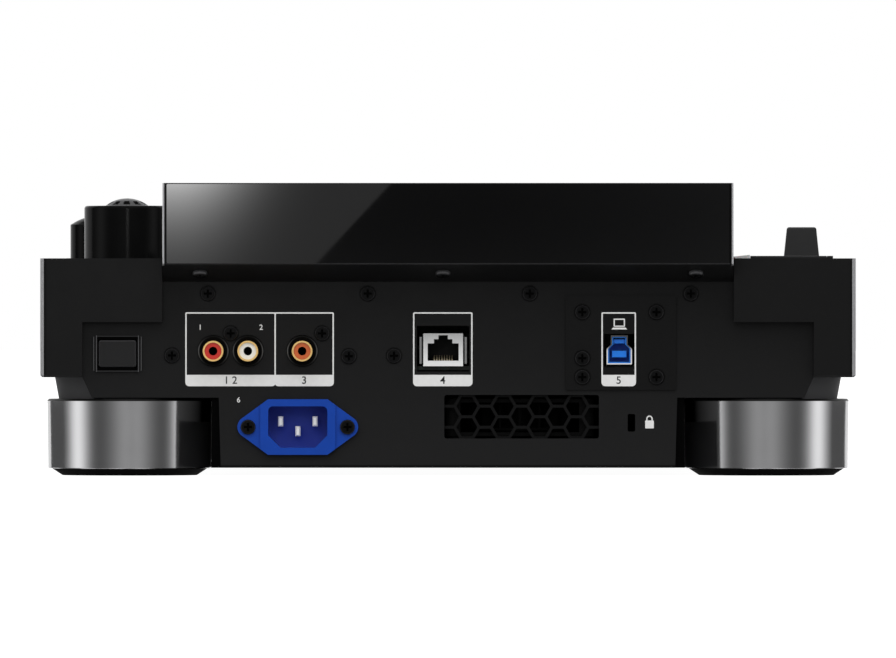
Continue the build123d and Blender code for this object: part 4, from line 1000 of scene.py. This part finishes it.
class DECK_OT_rear_marks(DeckOperator, bpy.types.Operator):
    """Print the frames, bars and numbers beside the rear sockets"""

    bl_idname = "deck.rear_marks"
    bl_label = "Rear Marks"

    def execute(self, context):
        sizes = self.marks
        white = ink("white_ink", self.colours.white_ink)
        black = ink("black_ink", self.colours.black_ink)
        jacks_left, between, jacks_right = -106.0 * MM, -69.75 * MM, -46.05 * MM
        audio = (jacks_left, between + sizes.line / 2)
        digital = (between - sizes.line / 2, jacks_right)
        link = (-middle(LINK, 0) - 12.15 * MM, -middle(LINK, 0) + 11.85 * MM)
        usb = (-middle(USB, 0) - 7.2 * MM, -middle(USB, 0) + 6.75 * MM)
        groups = (
            ("audio_frame", REAR, audio, 1.0, "1 2"),
            ("digital_frame", REAR, digital, 0.8, "3"),
            ("link_frame", REAR, link, 1.0, "4"),
            ("usb_frame", REAR_PLATE, usb, 1.0, "5"),
        )
        bar_middle = sizes.frame_bottom + sizes.bar / 2
        for name, face, (left, right), share, text in groups:
            mesh = bmesh.new()
            socket_frame(mesh, face, left, right, sizes, share)
            piece(name, mesh, white, *PRINT)
            centre = ((left + right) / 2, bar_middle)
            number(name + "_number", text, face, centre, sizes.number, black, *PRINT, sizes.ink)
        small = (
            ("first_jack_number", "1", (-100.0 * MM, 59.8 * MM)),
            ("second_jack_number", "2", (-75.4 * MM, 59.8 * MM)),
            ("inlet_number", "6", (-84.5 * MM, 30.5 * MM)),
        )
        for name, text, point in small:
            number(name, text, REAR, point, sizes.small_number, white, *PRINT)
        self.computer_sign(white, (-middle(USB, 0), 61.3 * MM))
        self.lock_sign(white, (81.3 * MM, 21.7 * MM))
        return {"FINISHED"}

    def computer_sign(self, material, centre):
        """A small folding computer: a screen's outline over a flat base."""
        x, y = centre
        thickness = self.marks.ink
        screen_half, rim, side_rim = 2.3 * MM, 0.45 * MM, 0.5 * MM
        low, high = y - 1.2 * MM, y + 2.1 * MM
        mesh = bmesh.new()
        outer = rounded(x - screen_half, x + screen_half, low, high, [0.3 * MM] * 4)
        pane = screen_half - side_rim
        inner = rounded(x - pane, x + pane, low + rim, high - side_rim, [0.1 * MM] * 4)
        raise_ring(mesh, REAR_PLATE, outer, inner, thickness)
        wide, narrow, front, back = 3.2 * MM, 2.5 * MM, y - 2.3 * MM, y - 1.5 * MM
        base = [(x - wide, front), (x + wide, front), (x + narrow, back), (x - narrow, back)]
        raise_outline(mesh, REAR_PLATE, base, thickness)
        piece("computer_sign", mesh, material, *PRINT)

    def lock_sign(self, material, centre):
        """A small padlock: a solid body under a half-round bow."""
        x, y = centre
        thickness = self.marks.ink
        mesh = bmesh.new()
        body_half, low, foot = 1.75 * MM, y - 2.6 * MM, y + 0.6 * MM
        body = rounded(x - body_half, x + body_half, low, foot, [0.25 * MM] * 4)
        raise_outline(mesh, REAR, body, thickness)
        wide, narrow, steps = 1.3 * MM, 0.8 * MM, 12
        half_turn = [math.pi * step / steps for step in range(steps + 1)]
        ways = [(math.cos(turn), math.sin(turn)) for turn in half_turn]
        outer, inner = [
            [(x + radius * way[0], y + wide + radius * way[1]) for way in ways] for radius in (wide, narrow)
        ]
        bow = [(x + wide, foot), *outer, (x - wide, foot)]
        bow += [(x - narrow, foot), *inner[::-1], (x + narrow, foot)]
        raise_outline(mesh, REAR, bow, thickness)
        piece("lock_sign", mesh, material, *PRINT)


def arrow(x, y, size, way):
    """Triangle that points to the right or, with way -1, to the left."""
    back, tip = x - way * size / 2, x + way * size / 2
    return [(back, y - size * 0.55), (tip, y), (back, y + size * 0.55)]


class DECK_OT_deck_marks(DeckOperator, bpy.types.Operator):
    """Print the numbers, arrows and scales on the keys and the deck plate"""

    bl_idname = "deck.deck_marks"
    bl_label = "Deck Marks"

    def execute(self, context):
        white = ink("deck_ink", self.colours.white_ink)
        self.number_keys(white)
        self.arrow_keys(white)
        self.tempo_scale(white)
        self.light_rings()
        return {"FINISHED"}

    def number_keys(self, material):
        """Plain numbers on the row of keys in front of the display."""
        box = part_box("hot_cue_keys")
        keys, width, lip = 8, 23 * MM, 1.6 * MM
        reach = half(box, 0) - lip - width / 2
        for index in range(keys):
            x = middle(box, 0) + reach * (2 * index / (keys - 1) - 1)
            mark = (str(index + 1), KEYS, (x, middle(box, 1)), 3.2 * MM, material)
            number(f"hot_cue_number_{index + 1}", *mark, "hot_cues", "key_black")

    def arrow_keys(self, material):
        """Single and barred arrows on the four small keys, and the sign on the eject key."""
        signs = (
            ("search_back", -1, False),
            ("search_forward", 1, False),
            ("track_back", -1, True),
            ("track_forward", 1, True),
        )
        size, bar_half, sign_half = 2.8 * MM, 0.3 * MM, 1.5 * MM
        for body, way, barred in signs:
            x, y = centre_of(body + "_key")
            mesh = bmesh.new()
            for shift in (-0.5, 0.5):
                raise_outline(mesh, KEYS, arrow(x + shift * size, y, size, way), self.marks.ink)
            if barred:
                self.bar(mesh, KEYS, (x + way * size * 1.25, y), bar_half, sign_half)
            piece(body + "_sign", mesh, material, body, "key_black")
        x, y = centre_of("eject_key")
        mesh = bmesh.new()
        wide, tip_low, tip_high = 1.6 * MM, y - 0.2 * MM, y + 1.7 * MM
        raise_outline(mesh, KEYS, [(x - wide, tip_low), (x + wide, tip_low), (x, tip_high)], self.marks.ink)
        self.bar(mesh, KEYS, (x, y - 1.0 * MM), wide, bar_half)
        piece("eject_sign", mesh, material, "eject", "key_black")

    def bar(self, mesh, face, centre, half_width, half_height):
        """Adds a short printed bar."""
        x, y = centre
        edges = (x - half_width, x + half_width, y - half_height, y + half_height)
        raise_outline(mesh, face, rounded(*edges, [0.05 * MM] * 4), self.marks.ink)

    def tempo_scale(self, material):
        """Ticks beside the tempo fader, long at the middle and the ends, and a zero."""
        x, y = centre_of("tempo_knob")
        steps, pitch, gap = 5, 10 * MM, 11.5 * MM
        long_tick, short_tick, tick_half = 3.6 * MM, 2.16 * MM, 0.15 * MM
        mesh = bmesh.new()
        for step in range(-steps, steps + 1):
            reach = long_tick if step % steps == 0 else short_tick
            for way in (-1, 1):
                centre = (x + way * (gap + reach / 2), y + step * pitch)
                self.bar(mesh, DECK, centre, reach / 2, tick_half)
        piece("tempo_scale", mesh, material, "root", "deck_black")
        number("tempo_zero", "0", DECK, (x + 18.2 * MM, y), 2.4 * MM, material, "root", "deck_black")

    def light_rings(self):
        """Thin light guides round the two round keys."""
        shades = (("play", (0.22, 0.5, 0.28)), ("cue", (0.62, 0.42, 0.14)))
        for body, shade in shades:
            x, y = centre_of(body + "_button")
            radius, width, thickness = 19.7 * MM, 1.6 * MM, 0.4 * MM
            mesh = bmesh.new()
            raise_ring(mesh, DECK, circle(x, y, radius + width), circle(x, y, radius), thickness)
            piece(body + "_light_ring", mesh, light_guide(body + "_light", shade), "root", "light_guide")


class DECK_OT_studio(DeckOperator, bpy.types.Operator):
    """Build the pale floor, the lamps, the reflectors and the camera"""

    bl_idname = "deck.studio"
    bl_label = "Studio"

    def execute(self, context):
        self.world()
        self.floor()
        self.drum()
        self.card()
        self.flags()
        self.lamps()
        self.camera()
        context.scene.view_settings.view_transform = "Standard"
        return {"FINISHED"}

    def seen(self, finish):
        """1 where the camera, a reflection or glass looks, 0 where only light is gathered."""
        rays = ("Is Camera Ray", "Is Glossy Ray", "Is Transmission Ray")
        return sum(finish.node("ShaderNodeLightPath", output=ray) for ray in rays).limited()

    def world(self):
        """White as background, a plain soft level for matt surfaces."""
        sky = Finish("studio_world", "worlds")
        strength = self.studio.daylight + self.seen(sky) * (1.0 - self.studio.daylight)
        background = sky.white("ShaderNodeBackground", strength)
        bpy.context.scene.world = sky.ended(background, "ShaderNodeOutputWorld")

    def floor(self):
        """Pale round floor that keeps the deck's shadow: part lit, part glowing."""
        lit, glowing = 0.3, 0.97
        finish = Finish("floor_white")
        matt = finish.node("ShaderNodeBsdfDiffuse", None, {"Color": (lit, lit, lit, 1)})
        glow = finish.white("ShaderNodeEmission", self.seen(finish) * glowing)
        both = finish.node("ShaderNodeAddShader", None, {0: matt, 1: glow})
        mesh = bmesh.new()
        bmesh.ops.create_circle(mesh, cap_ends=True, segments=96, radius=self.studio.floor_radius)
        made = solid("floor", mesh, finish.ended(both))
        made.visible_glossy = False

    def reflector(self, name, mesh, material):
        """Adds a part of the stage that only reflections see."""
        made = solid(name, mesh, material)
        for ray in ("camera", "diffuse", "transmission", "shadow", "volume_scatter"):
            setattr(made, "visible_" + ray, False)

    def board(self, name, corners, material):
        """Adds a flat reflector with these corners."""
        mesh = bmesh.new()
        mesh.faces.new([mesh.verts.new(corner) for corner in corners])
        self.reflector(name, mesh, material)

    def drum(self):
        """Round reflector: bright at both sides and in front, soft behind, dark between.

        It is bright in directions counted from the rear feet, as their metal shows them.
        """
        side_turn, side_width, side_level = math.radians(77), math.radians(16), 1.12
        rear_width, rear_level = math.radians(25), 0.34
        front_turn, front_level = math.radians(112), 0.8
        hole_width, hole_middle, hole_height = 0.3, 0.12, 0.09
        finish = Finish("drum_light")
        across, back, up = finish.axes()
        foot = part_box("foot_shells")[1] - Vector((FOOT_RADIUS, FOOT_RADIUS, 0))
        turn = abs((abs(across) - foot[0]).math("ARCTAN2", back - foot[1]))
        sides = turn.bell(side_turn, side_width) * side_level
        behind = turn.bell(0.0, rear_width) * rear_level
        before = (turn > front_turn) * front_level
        hole = across.bell(0.0, hole_width) * (turn < math.radians(90)) * up.bell(hole_middle, hole_height)
        wall = (0.08 + sides + behind + before) * (1.0 - hole * 0.9)
        radius = finish.radius_from((0, 0, 0)) / self.studio.drum_radius
        under_roof = up < self.studio.drum_height * 0.995
        roof = 0.55 - radius * 0.35
        mesh = bmesh.new()
        below = 0.6
        height = self.studio.drum_height + below
        place = Matrix.Translation((0, 0, height / 2 - below))
        bmesh.ops.create_cone(mesh, cap_ends=True, segments=128, radius1=self.studio.drum_radius,
                              radius2=self.studio.drum_radius, depth=height, matrix=place)
        self.reflector("drum", mesh, finish.glow(wall * under_roof + roof * (1.0 - under_roof)))

    def card(self):
        """Slanted card whose soft reflection lies on one end of the gloss cover."""
        away = 0.35
        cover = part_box("display_back_cover")
        face = cover[1][1]
        growth = 1 + away / (self.studio.distance - face)
        eye = self.studio.height

        def seen_at(x, z):
            """Where the card's point has to be to be seen at a point of the cover."""
            return (x * growth, face + away, eye + (z - eye) * growth)

        beyond, under = 12 * MM, 3 * MM
        top, low, end = cover[1][2] + beyond, cover[0][2] - under, cover[1][0] + beyond
        slant_top, slant_low = (23.2 * MM, 117.6 * MM), (53.5 * MM, 84.9 * MM)
        slope = (slant_low[0] - slant_top[0]) / (slant_top[1] - slant_low[1])
        edge_top = slant_top[0] - (top - slant_top[1]) * slope
        edge_low = slant_low[0] + (slant_low[1] - low) * slope
        corners = [seen_at(end, low), seen_at(edge_low, low), seen_at(edge_top, top), seen_at(end, top)]
        peak, peak_width, peak_height, decay = 118 * MM, 27 * MM, 121 * MM, 14 * MM
        finish = Finish("card_light")
        fall = ((finish.along(2) - peak_height) / decay).math("EXPONENT")
        bright = finish.along(0).bell(peak, peak_width) * fall
        self.board("card", corners, finish.glow(0.5 + bright * 11.3))

    def flags(self):
        """Low grey boards beside the rear feet, outside and inside, seen only in their metal."""
        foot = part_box("foot_shells")[1]
        inner = foot[0] - 2 * FOOT_RADIUS - 0.25 * MM
        back = foot[1]
        boards = (
            ("outer_flag", (213 * MM, 186 * MM), (194 * MM, 137 * MM), 0.1, 0.1),
            ("inner_flag", (inner, back - 1 * MM), (inner, back - 30 * MM), 0.062, -0.03),
        )
        low, top = -90 * MM, foot[2] + 0.4 * MM
        for name, near, far, near_glow, far_glow in boards:
            finish = Finish(name + "_grey")
            share = finish.along(1).ramp(near[1], far[1])
            grey = finish.glow((near_glow + share * (far_glow - near_glow)).limited())
            ends = ((*near, low), (*far, low), (*far, top), (*near, top))
            for side in (-1, 1):
                self.board(f"{name}_{side + 2}", [(side * x, y, z) for x, y, z in ends], grey)

    def lamps(self):
        """Two wide soft suns, from behind and in front, that matt surfaces see."""
        width, slant = math.radians(70), math.radians(48)
        for name, turn, strength in (("rear_lamp", 180, 1.0), ("front_lamp", 0, 0.8)):
            lamp = bpy.data.lights.new(name, "SUN")
            lamp.energy = strength * self.studio.lamp
            lamp.angle = width
            made = added(name, lamp)
            made.rotation_euler = (slant, 0, math.radians(turn))
            made.visible_glossy = False

    def camera(self):
        """Long lens, level with the middle of the deck's rear."""
        data = bpy.data.cameras.new("camera")
        data.lens = self.studio.lens
        data.sensor_width = 36.0
        data.clip_end = 200.0
        made = added("camera", data)
        made.location = (0, self.studio.distance, self.studio.height)
        made.rotation_euler = (math.radians(90), 0, math.radians(180))
        bpy.context.scene.camera = made


class DECK_PT_looks(bpy.types.Panel):
    """Lists the deck's operators and settings in the 3D view's sidebar"""

    bl_label = "Media Deck"
    bl_idname = "DECK_PT_looks"
    bl_space_type = "VIEW_3D"
    bl_region_type = "UI"
    bl_category = "Media Deck"

    def draw(self, context):
        layout = self.layout
        for operator in OPERATORS:
            layout.operator(operator.bl_idname)
        for group in (context.scene.deck_colours, context.scene.deck_marks, context.scene.deck_studio):
            box = layout.box()
            for key in group.bl_rna.properties.keys():
                if key not in ("rna_type", "name"):
                    box.prop(group, key)


OPERATORS = (
    DECK_OT_case,
    DECK_OT_feet,
    DECK_OT_display,
    DECK_OT_jog,
    DECK_OT_keys,
    DECK_OT_sockets,
    DECK_OT_inlet,
    DECK_OT_inside,
    DECK_OT_rear_marks,
    DECK_OT_deck_marks,
    DECK_OT_studio,
)
SETTINGS = (
    ("deck_colours", DeckColours),
    ("deck_marks", MarkSizes),
    ("deck_studio", StudioSetup),
)


def register():
    """Registers the settings, the operators and the panel."""
    for name, group in SETTINGS:
        bpy.utils.register_class(group)
        setattr(bpy.types.Scene, name, PointerProperty(type=group))
    for operator in OPERATORS:
        bpy.utils.register_class(operator)
    bpy.utils.register_class(DECK_PT_looks)


def unregister():
    """Takes them away again, in the other order."""
    bpy.utils.unregister_class(DECK_PT_looks)
    for operator in reversed(OPERATORS):
        bpy.utils.unregister_class(operator)
    for name, group in reversed(SETTINGS):
        delattr(bpy.types.Scene, name)
        bpy.utils.unregister_class(group)


def main():
    """Registers everything and calls the operators in order."""
    register()
    for operator in OPERATORS:
        family, action = operator.bl_idname.split(".")
        result = getattr(getattr(bpy.ops, family), action)()
        if result != {"FINISHED"}:
            raise RuntimeError(f"{operator.bl_idname} did not finish")


if __name__ == "__main__":
    main()
